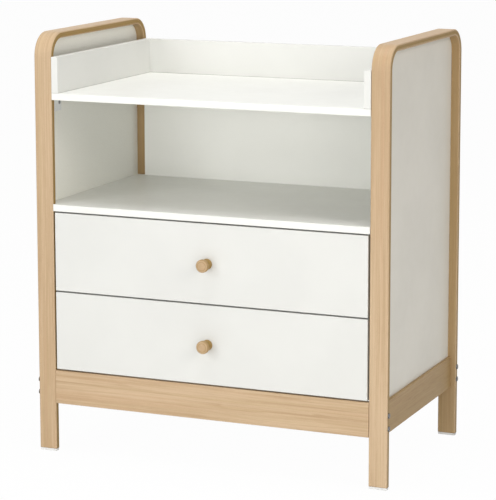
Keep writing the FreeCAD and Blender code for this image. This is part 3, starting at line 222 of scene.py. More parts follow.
class Finish:
    """A new material, or a new world, and the nodes that make it."""

    def __init__(self, name, library="materials"):
        self.owner = getattr(bpy.data, library).new(name)
        self.owner.use_nodes = True
        self.nodes = self.owner.node_tree.nodes
        self.links = self.owner.node_tree.links
        self.nodes.clear()

    def node(self, kind, settings=None, inputs=None, output=0):
        """Adds a node: its settings first, then its sockets. Gives one of its outputs, if it has any."""
        node = self.nodes.new("ShaderNode" + kind)
        for name, value in (settings or {}).items():
            setattr(node, name, value)
        for socket, value in (inputs or {}).items():
            if isinstance(value, Wire):
                self.links.new(value.socket, node.inputs[socket])
            else:
                node.inputs[socket].default_value = value
        return Wire(self, node.outputs[output]) if node.outputs else None

    def place(self):
        """The point on the dresser at rest, in metres, as x, y and z."""
        where = self.node("TexCoord", output="Object")
        return [self.node("SeparateXYZ", inputs={0: where}, output=axis) for axis in "XYZ"]

    def vector(self, x, y, z):
        return self.node("CombineXYZ", inputs={0: x, 1: y, 2: z})

    def noise(self, where, scale=1.0, detail=2.0, roughness=0.5, distortion=0.0):
        inputs = {"Vector": where, "Scale": scale, "Detail": detail}
        return self.node("TexNoise", inputs={**inputs, "Roughness": roughness, "Distortion": distortion})

    def cells(self, where, scale=1.0):
        """The distance to the nearest of many scattered points."""
        return self.node("TexVoronoi", inputs={"Vector": where, "Scale": scale}, output="Distance")

    def levels(self, value, low, high, to_low=0.0, to_high=1.0):
        """Brings a value's range from low..high smoothly to to_low..to_high."""
        inputs = {0: value, 1: low, 2: high, 3: to_low, 4: to_high}
        return self.node("MapRange", {"interpolation_type": "SMOOTHSTEP"}, inputs)

    def mix(self, factor, first, second):
        """One tone where the factor is 0, the other where it is 1. A tone is a colour or a wire."""
        first, second = (tone if isinstance(tone, Wire) else (*tone, 1.0) for tone in (first, second))
        return self.node("Mix", {"data_type": "RGBA"}, {0: factor, 6: first, 7: second}, 2)

    def surface(self, tone, roughness, relief, depth, **fixed):
        """Ends the material: a Principled surface with a bump of that depth in metres."""
        bump = self.node("Bump", inputs={"Height": relief, "Distance": depth, "Strength": 1.0})
        inputs = {"Base Color": tone, "Roughness": roughness, "Normal": bump, **fixed}
        self.node("OutputMaterial", inputs={"Surface": self.node("BsdfPrincipled", inputs=inputs)})
        return self.owner


def shaded(tone, part):
    """A tone with only that part of its light."""
    return tuple(channel * part for channel in tone)


def dress(material, *nodes):
    """Gives the CAD nodes this finish in the slots they have."""
    for node in nodes:
        piece = NODES[node]
        if not piece.material_slots:
            piece.data.materials.append(material)
        for slot in piece.material_slots:
            slot.material = material


def nodes_finished_in(slot):
    """The CAD nodes with this material slot."""
    return [node for node, finish in FINISH_OF.items() if finish == slot]


# ---------------------------------------------------------------- wood

SATIN = {"Specular IOR Level": 0.14}  # how little the wood mirrors
SATIN_RELIEF = 0.00006  # depth of the grain that shows through lacquer
BARE_RELIEF = 0.00012  # and of bare wood
BARE_ROUGHER = 0.22  # how much rougher bare wood is than lacquered
TURNED_RELIEF = 0.00004  # depth of the grain and the lathe's rings on a knob

# On a hoop. A pair holds the depths where a shade starts and where it is full.
GLUE_SHOWS = (0.0012, 0.0018)  # in from the nearer face, past the rounded edge
CUT_EDGE = (0.0022, 0.0034)  # in from the nearer face: the veneers' cut edges, darker, partly their own tone and partly painted shade
INNER_FACE_SHADE = (0.0008, 0.0002)  # in from the face inside the hoop: painted shade on that face
FOOT_SHADE = (0.0016, 0.0006)  # up from a leg's sawn end: a fine line of painted shade where the leg stands on its glide
INNER_SIDE = 0.0004  # how far in from the side at the boards still counts as that side, which gets painted shade
FACE_SKIN = 0.0001  # the least depth, so that a face can't count as a layer outside the strip
LEAST_OUT = 0.00001  # how far out a straight stretch counts, so that its angle is always known

# On a knob. A pair holds where a shade starts and where it is full.
KNOB_GROOVE = 0.0098  # radius of the groove that is turned in its face
GROOVE_REACH = (0.0011, 0.0004)  # to each side of that radius: painted shade in the groove
KNOB_RIM = (0.0128, 0.0142)  # radii where the face turns over: painted shade on the rim
KNOB_NECK = (0.0112, 0.0128)  # depths behind the face where the head goes over into the neck: painted shade on the neck


def beech_grain(finish, beech, along, across, through, tone=0.0):
    """The grain of beech: drift, long streaks, ray flecks and pores. Gives its tone and its relief."""
    sway = finish.noise(finish.vector(across * 4, through * 4, along * 2.4), detail=1) * 0.012
    across, through = across + sway, through + sway

    def stretched(fine, coarse, start=0.0):
        """A place with so many cells in a metre across the grain and along it."""
        run = along * coarse + start if start else along * coarse
        return finish.vector(across * fine, through * fine, run)

    drift = finish.noise(stretched(14, 0.9))
    band = finish.noise(stretched(95, 1.6), roughness=0.55)
    streak = finish.noise(stretched(290, 2.6), roughness=0.6)
    fibre = finish.noise(stretched(1500, 30))
    rays = finish.cells(stretched(900, 190))
    pores = finish.cells(stretched(3800, 520))
    figure = drift * 0.20 + band * 0.28 + streak * 0.34 + fibre * 0.18 + tone
    wood = finish.mix(finish.levels(figure, 0.39, 0.635), beech.pale, beech.dark)
    fleck = finish.levels(rays, 0.30, 0.12) * finish.levels(band, 0.35, 0.6)
    wood = finish.mix(fleck * 0.32, wood, beech.fleck)
    wood = finish.mix(finish.levels(pores, 0.20, 0.08) * 0.16, wood, beech.fleck)
    olive = finish.levels(finish.noise(stretched(120, 1.3, 7.0)), 0.52, 0.70)
    wood = finish.mix(olive * 0.16, wood, beech.olive)
    rosy = finish.levels(finish.noise(stretched(70, 1.1, 3.0)), 0.52, 0.72)
    wood = finish.mix(rosy * 0.14, wood, beech.rosy)
    return wood, fibre * 0.5 + streak * 0.3 - fleck * 0.5


def hoop_finish(beech):
    """Bent veneers, glued face to face: the grain follows the bend, glue lines show on the edges."""
    finish = Finish("beech_hoop")
    x, y, z = finish.place()
    low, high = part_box("hoop_left")

    # The way along the strip, up the front leg, over the top and down the back leg, and the way through it.
    bend_y = (high.y - low.y) / 2 - beech.bend_radius
    bend_z = high.z - beech.bend_radius
    middle = beech.bend_radius - beech.strip / 2
    whole = 2 * (middle * math.pi / 2 + bend_y)
    side = y - (low.y + high.y) / 2
    out = abs(side) - bend_y
    up = z - bend_z
    round_out = out.maths("MAXIMUM", LEAST_OUT)
    round_up = up.maths("MAXIMUM", 0.0)
    turned = round_up.maths("ARCTAN2", round_out)
    along = up.maths("MINIMUM", 0.0) + turned * middle + (0 - out).maths("MAXIMUM", 0.0)
    back = side.maths("GREATER_THAN", 0.0)
    along = along + back * (whole - 2 * along)
    reach = (round_out * round_out + round_up * round_up).maths("SQRT")
    through = (beech.bend_radius - reach).maths("MAXIMUM", FACE_SKIN)
    through = through.maths("MINIMUM", beech.strip - FACE_SKIN)
    to_inner_face = beech.strip - through
    to_face = through.maths("MINIMUM", to_inner_face)

    # Each veneer has its own stretch of grain and its own tone.
    ply = through / beech.veneer
    layer = ply.maths("FLOOR")
    ply_tone = finish.noise(finish.vector(layer * 3.17, x * 3, along * 0.8), detail=0) - 0.5
    offset = layer * 0.37
    wood, relief = beech_grain(
        finish, beech, along + offset, x + offset * 0.11, through * 0.6 + offset, ply_tone * 0.45 + 0.07
    )
    # The veneers' cut edges on the hoop's sides are darker: partly their own tone, partly painted shade.
    cut_edge = finish.levels(to_face, *CUT_EDGE)
    wood = finish.mix(cut_edge * (ply_tone * 0.9 + 0.80), wood, beech.edge)
    # Painted shade: the cut edges on the side towards the boards, which faces the dresser's middle, are
    # darker still.
    inner_side_shade = abs(x).maths("LESS_THAN", INNER_SIDE - high.x)
    wood = finish.mix(cut_edge * inner_side_shade * 0.55, wood, beech.edge)
    # Painted shade on the face inside the hoop.
    wood = finish.mix(finish.levels(to_inner_face, *INNER_FACE_SHADE) * 0.42, wood, beech.edge)
    seam = finish.levels(abs(ply.maths("FRACT") - 0.5), 0.44, 0.49) * finish.levels(to_face, *GLUE_SHOWS)
    wood = finish.mix(seam * 0.55, wood, beech.glue)
    # Painted shade: a fine dark line just above the leg's foot, where it stands on its glide.
    wood = finish.mix(finish.levels(z - low.z, *FOOT_SHADE) * 0.65, wood, beech.glue)
    sheen = finish.levels(relief, 0.1, 0.7, beech.gloss - 0.05, beech.gloss + 0.08)
    return finish.surface(wood, sheen, relief - seam * 0.6, SATIN_RELIEF, **SATIN)


def rail_finish(beech, name, axes, tone=0.0, lacquered=True, painted_shade=0.0, figure=0.10):
    """Solid beech with slow growth rings. Axes names the ways along, across and through the rail."""
    finish = Finish(name)
    point = dict(zip("xyz", finish.place()))
    along, across, through = (point[axis] for axis in axes)
    waver = finish.noise(finish.vector(along * 1.1, across * 14, through * 14), detail=3)
    rings = ((across + through * 0.4) * 70 + waver * 9).maths("FRACT")
    late = finish.levels(rings, 0.55, 0.95) * finish.levels(rings, 1.0, 0.96)
    patches = finish.noise(finish.vector(along * 2.5, across * 40, through * 40))
    late = late * finish.levels(patches, 0.35, 0.65)
    wood, relief = beech_grain(finish, beech, along, across, through, late * 0.08 + tone)
    wood = finish.mix(late * 0.08, wood, beech.fleck)
    # Painted shade: mixes the side rails towards the darker, olive rail tone.
    wood = finish.mix(painted_shade, wood, beech.rail_shade)
    broad = finish.noise(finish.vector(along * 5, across * 150, through * 60), detail=3, roughness=0.6)
    short = finish.noise(finish.vector(along * 28, across * 420, through * 150), roughness=0.6)
    dashes = finish.levels(broad * 0.6 + short * 0.4, 0.47, 0.66)
    wood = finish.mix(dashes * figure, wood, beech.fleck)
    rough = beech.gloss if lacquered else beech.gloss + BARE_ROUGHER
    sheen = finish.levels(relief, 0.1, 0.7, rough - 0.05, rough + 0.08)
    depth = SATIN_RELIEF if lacquered else BARE_RELIEF
    return finish.surface(wood, sheen, relief + late * 0.2, depth, **SATIN)


def knob_finish(beech):
    """Turned beech: end grain on the face, with the lathe's fine rings."""
    finish = Finish("beech_knob")
    x, y, z = finish.place()
    low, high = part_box("lower_drawer_knob")
    upper_low, upper_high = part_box("upper_drawer_knob")
    upper, lower = (upper_low.z + upper_high.z) / 2, (low.z + high.z) / 2
    level = z - lower - z.maths("GREATER_THAN", (upper + lower) / 2) * (upper - lower)
    radius = (x * x + level * level).maths("SQRT")
    wood, relief = beech_grain(finish, beech, y, x, z, 0.10)
    waver = finish.noise(finish.vector(x * 60, z * 60, y * 10)) * 2
    year = finish.levels(((x * 0.9 + level * 0.5) * 210 + waver).maths("FRACT"), 0.7, 0.98)
    wood = finish.mix(year * 0.18, wood, beech.dark)
    # Painted shade in the turned groove and on the rim where the face turns over.
    turning_shade = finish.levels(abs(radius - KNOB_GROOVE), *GROOVE_REACH) + finish.levels(radius, *KNOB_RIM)
    wood = finish.mix(turning_shade * 0.50, wood, beech.edge)
    # Painted shade on the neck under the head.
    wood = finish.mix(finish.levels(y - low.y, *KNOB_NECK) * 0.75, wood, beech.edge)
    lathe = finish.noise(finish.vector(radius * 2600, y * 900, 0.0), detail=1)
    sheen = finish.levels(lathe, 0.2, 0.8, beech.gloss - 0.06, beech.gloss + 0.04)
    return finish.surface(wood, sheen, relief * 0.6 + lathe * 0.5, TURNED_RELIEF, **SATIN)


# ---------------------------------------------------------------- white boards, foil and plastics

LACQUER = {"Specular IOR Level": 0.30}  # how much the white boards mirror
PEEL = 0.00003  # depth of the orange peel on boards
PANEL_PEEL = 0.00004  # and on thin panels
PANEL_ROUGHER = 0.06  # how much rougher the panels are than the boards
FOIL_RELIEF = 0.00003
MOULDED_RELIEF = 0.00002
JOINT_SHADE = (0.0011, 0.0006)  # heights above the joint under a guard, from clear to dark: painted shade

# The moulded slot in a corner block.
SLOT_PLACE = 0.006  # to its middle, from the block's side at the leg and from its foot
SLOT_WIDTH = 0.0044
SLOT_HEIGHT = 0.0104
SLOT_START = 0.0008  # outwards from the boards' ends


def white_finish(name, tone, gloss, peel=PEEL, drift=0.02, joint=None, inside=None):
    """White lacquer or foil on board: faint orange peel, slow drift of tone and sheen, tiny nibs.
    Joint is the height of a joint with the board below and its tone: a fine line of painted shade.
    Inside is a tone and an x: the faces nearer to the dresser's middle than that have it, a lighter tone as
    painted light."""
    finish = Finish(name)
    x, y, z = finish.place()
    where = finish.vector(x, y, z)
    cloud = finish.noise(where, 5.0, 3)
    skin = finish.noise(where, 420.0, 2, 0.55)
    nibs = finish.levels(finish.cells(where, 140.0), 0.10, 0.03)
    paint = finish.mix(finish.levels(cloud, 0.35, 0.65), tone, shaded(tone, 1 - drift * 1.6))
    # Painted light: the inner faces get the lighter inside tone.
    if inside is not None:
        inner_tone, reach = inside
        paint = finish.mix(abs(x).maths("LESS_THAN", reach), paint, inner_tone)
    paint = finish.mix(finish.levels(skin, 0.25, 0.75) * 0.35, paint, shaded(tone, 0.985))
    if joint is not None:
        height, shade = joint
        # Painted shade: a fine dark line in the joint where a guard stands on the top.
        paint = finish.mix(finish.levels(z - height, *JOINT_SHADE) * 0.75, paint, shade)
    sheen = finish.levels(finish.noise(where, 38.0, 3), 0.3, 0.7, gloss - 0.05, gloss + 0.07)
    return finish.surface(paint, sheen, skin + nibs * 0.8, peel, **LACQUER)


def foil_finish(white):
    """White foil with a faint printed pore, on the drawer boxes."""
    finish = Finish("drawer_foil")
    x, y, z = finish.place()
    grain = finish.noise(finish.vector(x * 40, y * 6, z * 420), detail=3)
    pore = finish.levels(finish.cells(finish.vector(x * 400, y * 90, z * 1800)), 0.22, 0.08)
    tone = finish.mix(grain, white.box, shaded(white.box, 0.95))
    tone = finish.mix(pore * 0.2, tone, white.pore)
    return finish.surface(tone, finish.levels(grain, 0.3, 0.7, 0.48, 0.60), grain - pore, FOIL_RELIEF)


def moulded_finish(name, tone, gloss=0.42, pocket=None):
    """Moulded plastic: a fine eroded skin with slight flow marks.
    Pocket is a function that gives 1 in the depth of a pocket, and the tone of the painted shade there."""
    finish = Finish(name)
    where = finish.vector(*finish.place())
    erosion = finish.noise(where, 1900.0, 2, 0.6)
    flow = finish.noise(where, 55.0, 2, 0.5, 1.2)
    paint = finish.mix(finish.levels(flow, 0.35, 0.7), tone, shaded(tone, 0.93))
    if pocket is not None:
        in_pocket, shade = pocket
        # Painted shade in the depth of the pocket.
        paint = finish.mix(in_pocket(*finish.place()), paint, shade)
    sheen = finish.levels(erosion, 0.3, 0.7, gloss - 0.05, gloss + 0.1)
    return finish.surface(paint, sheen, erosion + flow * 0.4, MOULDED_RELIEF)


def block_slot(x, y, z):
    """1 inside the moulded slots of the corner blocks, which lie deep in shade."""
    low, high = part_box("corner_blocks")
    shelf_low, shelf_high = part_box("shelf")
    shelf_to_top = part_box("changing_top")[0].z - shelf_low.z
    from_leg = (high.y - low.y) / 2 - abs(y - (high.y + low.y) / 2)
    height = z - low.z - z.maths("GREATER_THAN", (high.z + low.z) / 2) * shelf_to_top
    deep = abs(x).maths("GREATER_THAN", shelf_high.x + SLOT_START)
    beside = abs(from_leg - SLOT_PLACE).maths("LESS_THAN", SLOT_WIDTH / 2)
    upright = abs(height - SLOT_PLACE).maths("LESS_THAN", SLOT_HEIGHT / 2)
    return deep * beside * upright


# ---------------------------------------------------------------- metals

COAT_RELIEF = 0.00004
PLATED_RELIEF = 0.00002


def powder_coat_finish(hardware):
    """Rolled steel with a pale powder coat: pebbled skin and slight rubbing."""
    finish = Finish("runner_powder_coat")
    where = finish.vector(*finish.place())
    pebbles = finish.noise(where, 900.0, 2, 0.6)
    rubbed = finish.levels(finish.noise(where, 26.0, 4, 0.7), 0.60, 0.74)
    tone = finish.mix(rubbed * 0.35, hardware.runner, shaded(hardware.runner, 0.80))
    return finish.surface(tone, finish.levels(pebbles, 0.3, 0.7, 0.34, 0.50), pebbles, COAT_RELIEF)


def plated_finish(name, tone, spangle=260.0, gloss=0.34):
    """Plated steel or a die casting: mottled tone, slightly yellow in places, finely scratched."""
    finish = Finish(name)
    where = finish.vector(*finish.place())
    mottle = finish.noise(where, spangle, 3, 0.6)
    scratch = finish.noise(where, 2400.0, 1, 0.5, 0.6)
    yellow = (tone[0] * 1.05, tone[1], tone[2] * 0.86)
    plate = finish.mix(finish.levels(mottle, 0.3, 0.7), tone, shaded(tone, 0.72))
    plate = finish.mix(finish.levels(mottle, 0.55, 0.75) * 0.25, plate, yellow)
    sheen = finish.levels(scratch, 0.25, 0.75, gloss - 0.08, gloss + 0.14)
    return finish.surface(plate, sheen, scratch + mottle * 0.5, PLATED_RELIEF, Metallic=1.0)


# ---------------------------------------------------------------- screws, bolts and dowels

SAME_POINT = 0.000002  # points of a CAD mesh that are this close are one
END_REACH = 0.0011  # how far from a turned piece's end its width there is looked for
SHARP_ANGLE = math.radians(38)
SHANK_FIT = 0.98  # threads and necks stay just inside the plain shank of the CAD node
NECK_OVERLAP = 0.0002  # how far a neck reaches into its head
HEAD_BEVEL = 0.0005  # at most
RECESS_LIP = 0.0001  # width of the lip round a driver recess
RECESS_EDGE = 0.00008  # and its depth
RECESS_FLOOR = ((1.0, 0.3), (0.9, 0.82))  # shares of a recess's depth, and of its outline there
ARM_WIDTH = 0.24  # half the width of a cross recess's arms, as a share of its size
LEAST_SINE = 0.01  # keeps that outline finite along an arm's middle
RINGS_IN_TURN = 3  # rings of points in one turn of a thread
TIP_END = 0.1  # radius at the end of a tip, as a share
FLUTED = (0.985, 0.92)  # radius of a dowel on a flute's ridge and in its bottom, as shares
DOWEL_END = ((0.0, 0.80), (0.0009, 0.95))  # chamfer: distances from a dowel's end, shares of its radius
FLUTE_START = 0.0011


def solids_of(node):
    """The separate solids of a CAD node, each as a list of its points, in the order of the mesh."""
    mesh = bmesh.new()
    mesh.from_mesh(NODES[node].data)
    bmesh.ops.remove_doubles(mesh, verts=mesh.verts, dist=SAME_POINT)
    found, solids = set(), []
    for first in mesh.verts:
        if first in found:
            continue
        found.add(first)
        reached, solid = [first], []
        while reached:
            point = reached.pop()
            solid.append(point.co.copy())
            beside = [edge.other_vert(point) for edge in point.link_edges]
            new = [other for other in beside if other not in found]
            found.update(new)
            reached += new
        solids.append(solid)
    mesh.free()
    return solids


def seat_of(points):
    """A turned piece's place, its length and its head's radius. The place has the head's top at the
    origin and the length down +Z."""
    low, high = (Vector(pick(point[axis] for point in points) for axis in range(3)) for pick in (min, max))
    middle = (low + high) / 2
    axis = max(range(3), key=lambda way: high[way] - low[way])

    def widest(height):
        across = [point - middle for point in points if abs(point[axis] - height) < END_REACH]
        return max(math.hypot(*(away[way] for way in range(3) if way != axis)) for away in across)

    head_low = widest(low[axis]) >= widest(high[axis])
    down, top = Vector((0, 0, 0)), middle.copy()
    down[axis], top[axis] = (1, low[axis]) if head_low else (-1, high[axis])
    turn = down.to_track_quat("Z", "Y").to_matrix().to_4x4()
    head = max(widest(low[axis]), widest(high[axis]))
    return Matrix.Translation(top) @ turn, high[axis] - low[axis], head


def add_rings(mesh, seat, rings, sides):
    """A closed form along a seat. A ring is a height and a radius, plain or a function of the angle."""
    loops = []
    angles = [2 * math.pi * step / sides for step in range(sides)]
    for height, radius in rings:
        reaches = [radius(turn) if callable(radius) else radius for turn in angles]
        points = [
            (reach * math.cos(turn), reach * math.sin(turn), height) for reach, turn in zip(reaches, angles)
        ]
        loops.append([mesh.verts.new(seat @ Vector(point)) for point in points])
    for here, there in zip(loops, loops[1:]):
        for step in range(sides):
            after = (step + 1) % sides
            mesh.faces.new((here[step], here[after], there[after], there[step]))
    mesh.faces.new(loops[0][::-1])
    mesh.faces.new(loops[-1])


def hexagon(size):
    """Outline of a hexagon socket. Its size is half its width across flats."""
    return lambda turn: size / math.cos(turn % (math.pi / 3) - math.pi / 6)


def cross(size):
    """Outline of a cross recess with four arms as long as its size."""

    def outline(turn):
        off_arm = abs((turn + math.pi / 4) % (math.pi / 2) - math.pi / 4)
        return min(size, size * ARM_WIDTH / max(math.sin(off_arm), LEAST_SINE))

    return outline


def thread(start, end, crest, root, pitch, tip):
    """Rings of a helical thread that starts gently and thins out over the tip."""
    rings = []
    count = max(RINGS_IN_TURN, round(RINGS_IN_TURN * (end - start) / pitch))
    for step in range(count + 1):
        height = start + (end - start) * step / count
        taper = min(1.0, TIP_END + (end - height) / tip) if tip else 1.0
        rise = min(1.0, (height - start) / pitch)

        def radius(turn, height=height, taper=taper, rise=rise):
            # Flat at the root and pointed at the crest.
            ridge = abs(2 * ((height / pitch - turn / (2 * math.pi)) % 1.0) - 1)
            return taper * (root + (crest - root) * rise * max(0.0, 1.5 * ridge - 0.5))

        rings.append((height, radius))
    return rings


def add_screw(mesh, points, sides, depth, shank, root, pitch, plain, pit, recess, size, tip):
    """A turned head with its recess, a plain neck, and a thread down to the tip."""
    seat, long, head = seat_of(points)
    outline = recess(size)
    bevel = min(HEAD_BEVEL, depth * 0.3)
    floor = [(pit * deep, lambda turn, part=part: outline(turn) * part) for deep, part in RECESS_FLOOR]
    turned_head = floor + [
        (RECESS_EDGE, outline),
        (0.0, lambda turn: outline(turn) + RECESS_LIP),
        (0.0, head - bevel),
        (bevel * 0.3, head - bevel * 0.3),
        (bevel, head),
        (depth, head),
        (depth, shank * 0.8),
    ]
    add_rings(mesh, seat, turned_head, 2 * sides)
    crest = shank * SHANK_FIT
    start = depth + plain
    neck = [(depth - NECK_OVERLAP, crest), (start, crest), (start + pitch * 0.3, root)]
    add_rings(mesh, seat, neck + thread(start + pitch * 0.5, long, crest, root, pitch, tip), sides)


def add_dowel(mesh, points, sides):
    """A beech dowel with flutes for the glue and chamfered ends."""
    seat, long, head = seat_of(points)

    def fluted(turn):
        ridge, bottom = FLUTED
        return head * (ridge if round(turn / (math.pi / sides)) % 2 else bottom)

    start = [(down, head * part) for down, part in DOWEL_END]
    end = [(long - down, head * part) for down, part in reversed(DOWEL_END)]
    flutes = [(FLUTE_START, fluted), (long - FLUTE_START, fluted)]
    add_rings(mesh, seat, start + flutes + end, 2 * sides)


def rebuild(node, suffix, add_solid, sides, **shape):
    """Stands a detailed piece in for a CAD node, solid by solid, in the node's finish, body and slot."""
    mesh = bmesh.new()
    for points in solids_of(node):
        add_solid(mesh, points, sides, **shape)
    bmesh.ops.recalc_face_normals(mesh, faces=mesh.faces)
    for face in mesh.faces:
        face.smooth = True
    data = bpy.data.meshes.new(node + suffix)
    mesh.to_mesh(data)
    mesh.free()
    data.set_sharp_from_angle(angle=SHARP_ANGLE)
    data.materials.append(NODES[node].material_slots[0].material)
    piece = bpy.data.objects.new(node + suffix, data)
    bpy.context.scene.collection.objects.link(piece)
    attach(piece, NODE_BODY[node])
    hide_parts(node)


# Depth of the head, radius of the shank and of the thread's root, its pitch, the plain neck's length, the
# recess's depth, outline and size, and the length over which the tip thins out.
WOOD_SCREW = dict(
    depth=0.003, shank=0.002, root=0.0013, pitch=0.0018, plain=0.002,
    pit=0.0019, recess=cross, size=0.0026, tip=0.004,
)
RUNNER_SCREW = dict(
    depth=0.0012, shank=0.00175, root=0.0011, pitch=0.0014, plain=0.0006,
    pit=0.0010, recess=cross, size=0.0021, tip=0.0035,
)
LEG_BOLT = dict(
    depth=0.0025, shank=0.003, root=0.0025, pitch=0.00125, plain=0.052,
    pit=0.0018, recess=hexagon, size=0.002, tip=0.0,
)
SCREWS = {
    "leg_bolts": LEG_BOLT,
    "block_screws": WOOD_SCREW,
    "guard_screws": WOOD_SCREW,
    "upper_knob_screw": WOOD_SCREW,
    "lower_knob_screw": WOOD_SCREW,
    "cabinet_runner_screws": RUNNER_SCREW,
    "upper_drawer_runner_screws": RUNNER_SCREW,
    "lower_drawer_runner_screws": RUNNER_SCREW,
}
DOWELS = ("side_rail_dowels", "batten_dowels", "upper_drawer_dowels", "lower_drawer_dowels")


# ---------------------------------------------------------------- operators


class FinishHoops(bpy.types.Operator):
    """Finish the two bent, laminated beech hoops"""

    bl_idname = "dresser.finish_hoops"
    bl_label = "Beech Hoops"

    def execute(self, context):
        dress(hoop_finish(context.scene.dresser.beech), "hoop_left", "hoop_right")
        return {"FINISHED"}


class FinishRails(bpy.types.Operator):
    """Finish the solid beech rails, the runner battens and the dowels"""

    bl_idname = "dresser.finish_rails"
    bl_label = "Rails, Battens and Dowels"

    def execute(self, context):
        beech = context.scene.dresser.beech
        # The side rails' darker tone and their mix towards the olive rail tone are painted shade; figure
        # strengthens their grain.
        side_rail = rail_finish(beech, "beech_side_rail", "yzx", tone=0.10, painted_shade=0.42, figure=0.42)
        dress(side_rail, "side_rail_left", "side_rail_right")
        dress(rail_finish(beech, "beech_cross_rail", "xzy"), "front_rail", "back_rail")
        batten = rail_finish(beech, "beech_batten", "yzx", tone=0.04, lacquered=False)
        dress(batten, *nodes_finished_in("runner_batten"))
        rail_dowel = rail_finish(beech, "beech_rail_dowel", "yzx", lacquered=False)
        dress(rail_dowel, "side_rail_dowels", "batten_dowels")
        drawer_dowel = rail_finish(beech, "beech_drawer_dowel", "yzx", tone=-0.02, lacquered=False)
        dress(drawer_dowel, "upper_drawer_dowels", "lower_drawer_dowels")
        return {"FINISHED"}


class FinishKnobs(bpy.types.Operator):
    """Finish the turned beech knobs"""

    bl_idname = "dresser.finish_knobs"
    bl_label = "Knobs"

    def execute(self, context):
        dress(knob_finish(context.scene.dresser.beech), "upper_drawer_knob", "lower_drawer_knob")
        return {"FINISHED"}


class FinishBoards(bpy.types.Operator):
    """Finish the white boards, the guards and the drawer fronts"""

    bl_idname = "dresser.finish_boards"
    bl_label = "White Boards"

    def execute(self, context):
        white = context.scene.dresser.white
        dress(white_finish("white_boards", white.board, white.gloss), "changing_top", "shelf")
        # The fronts and guards get darker copies of the boards' white: painted shade.
        fronts = white_finish("white_fronts", white.front, white.gloss)
        dress(fronts, "upper_drawer_front", "lower_drawer_front")
        joint = (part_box("guard_back")[0].z, white.joint)
        guards = white_finish("white_guards", white.guard, white.gloss, joint=joint)
        dress(guards, "guard_left", "guard_right", "guard_back")
        return {"FINISHED"}


class FinishPanels(bpy.types.Operator):
    """Finish the thin white panels in the hoops and at the back"""

    bl_idname = "dresser.finish_panels"
    bl_label = "White Panels"

    def execute(self, context):
        white = context.scene.dresser.white
        gloss = white.gloss + PANEL_ROUGHER
        low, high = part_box("side_panel_right")
        # The lighter tones of the inner faces and the back panels are painted light against the compartment's
        # shade.
        inside = (white.panel_inside, (low.x + high.x) / 2)
        sides = white_finish("white_side_panels", white.panel, gloss, PANEL_PEEL, drift=0.03, inside=inside)
        dress(sides, "side_panel_left", "side_panel_right")
        backs = white_finish("white_back_panels", white.back, gloss, PANEL_PEEL)
        dress(backs, "back_panel_upper", "back_panel_lower")
        return {"FINISHED"}


class FinishDrawerBoxes(bpy.types.Operator):
    """Finish the sides, backs and bottoms of the drawers"""

    bl_idname = "dresser.finish_drawer_boxes"
    bl_label = "Drawer Boxes"

    def execute(self, context):
        dress(foil_finish(context.scene.dresser.white), *nodes_finished_in("drawer_box"))
        return {"FINISHED"}


class FinishFittings(bpy.types.Operator):
    """Finish the glides, corner blocks, runners, rollers, cams, bolts and screws"""

    bl_idname = "dresser.finish_fittings"
    bl_label = "Fittings"

    def execute(self, context):
        white = context.scene.dresser.white
        hardware = context.scene.dresser.hardware
        dress(moulded_finish("moulded_glides", white.plastic), "leg_glides")
        slotted = moulded_finish("moulded_blocks", white.plastic, pocket=(block_slot, white.pocket))
        dress(slotted, "corner_blocks")
        rollers = moulded_finish("moulded_rollers", hardware.roller, 0.34)
        dress(rollers, *nodes_finished_in("roller_plastic"))
        dress(powder_coat_finish(hardware), *nodes_finished_in("runner_steel"))
        dress(plated_finish("zinc_plated_steel", hardware.zinc), *nodes_finished_in("zinc_steel"))
        dress(plated_finish("nickel_plated_steel", hardware.bolt, 120.0, 0.26), "leg_bolts")
        cams = plated_finish("zinc_die_casting", hardware.cam, 90.0, 0.42)
        dress(cams, *nodes_finished_in("cam_zinc"))
        return {"FINISHED"}


class ThreadScrews(bpy.types.Operator):
    """Cut threads and driver recesses into the bolts and screws"""

    bl_idname = "dresser.thread_screws"
    bl_label = "Threads and Recesses"

    def execute(self, context):
        for node, shape in SCREWS.items():
            rebuild(node, "_threaded", add_screw, context.scene.dresser.hardware.sides, **shape)
        return {"FINISHED"}


class FluteDowels(bpy.types.Operator):
    """Flute the beech dowels and chamfer their ends"""

    bl_idname = "dresser.flute_dowels"
    bl_label = "Fluted Dowels"

    def execute(self, context):
        for node in DOWELS:
            rebuild(node, "_fluted", add_dowel, context.scene.dresser.hardware.sides)
        return {"FINISHED"}


FLOOR_REACH = 40.0  # from the dresser to the floor's edges
FLOOR_DROP = 0.0002  # below the glides, so that the two don't flicker
FLOOR_GLOW = 0.975  # how much of the seen floor is plain white
WHITE_LIGHT = (1.0, 1.0, 1.0)
PLAIN_WHITE = {"Color": (*WHITE_LIGHT, 1.0), "Strength": 1.0}
LAMP_TARGET = Vector((0, 0, 0.55))
# Each lamp's place and width. Its power is one of the studio's settings.
LAMPS = {
    "front": ((0.4, -5.3, 1.0), 1.9),
    "left": ((-1.6, -5.0, 1.0), 1.9),
    "key": ((-2.4, -4.2, 3.0), 1.8),
    "fill": ((3.0, -4.3, 1.0), 1.9),
    "side": ((4.4, -2.2, 3.0), 2.6),
    "top": ((0.0, -0.3, 4.2), 2.6),
}
SENSOR_WIDTH = 36.0  # millimetres
FAR_CLIP = 200.0


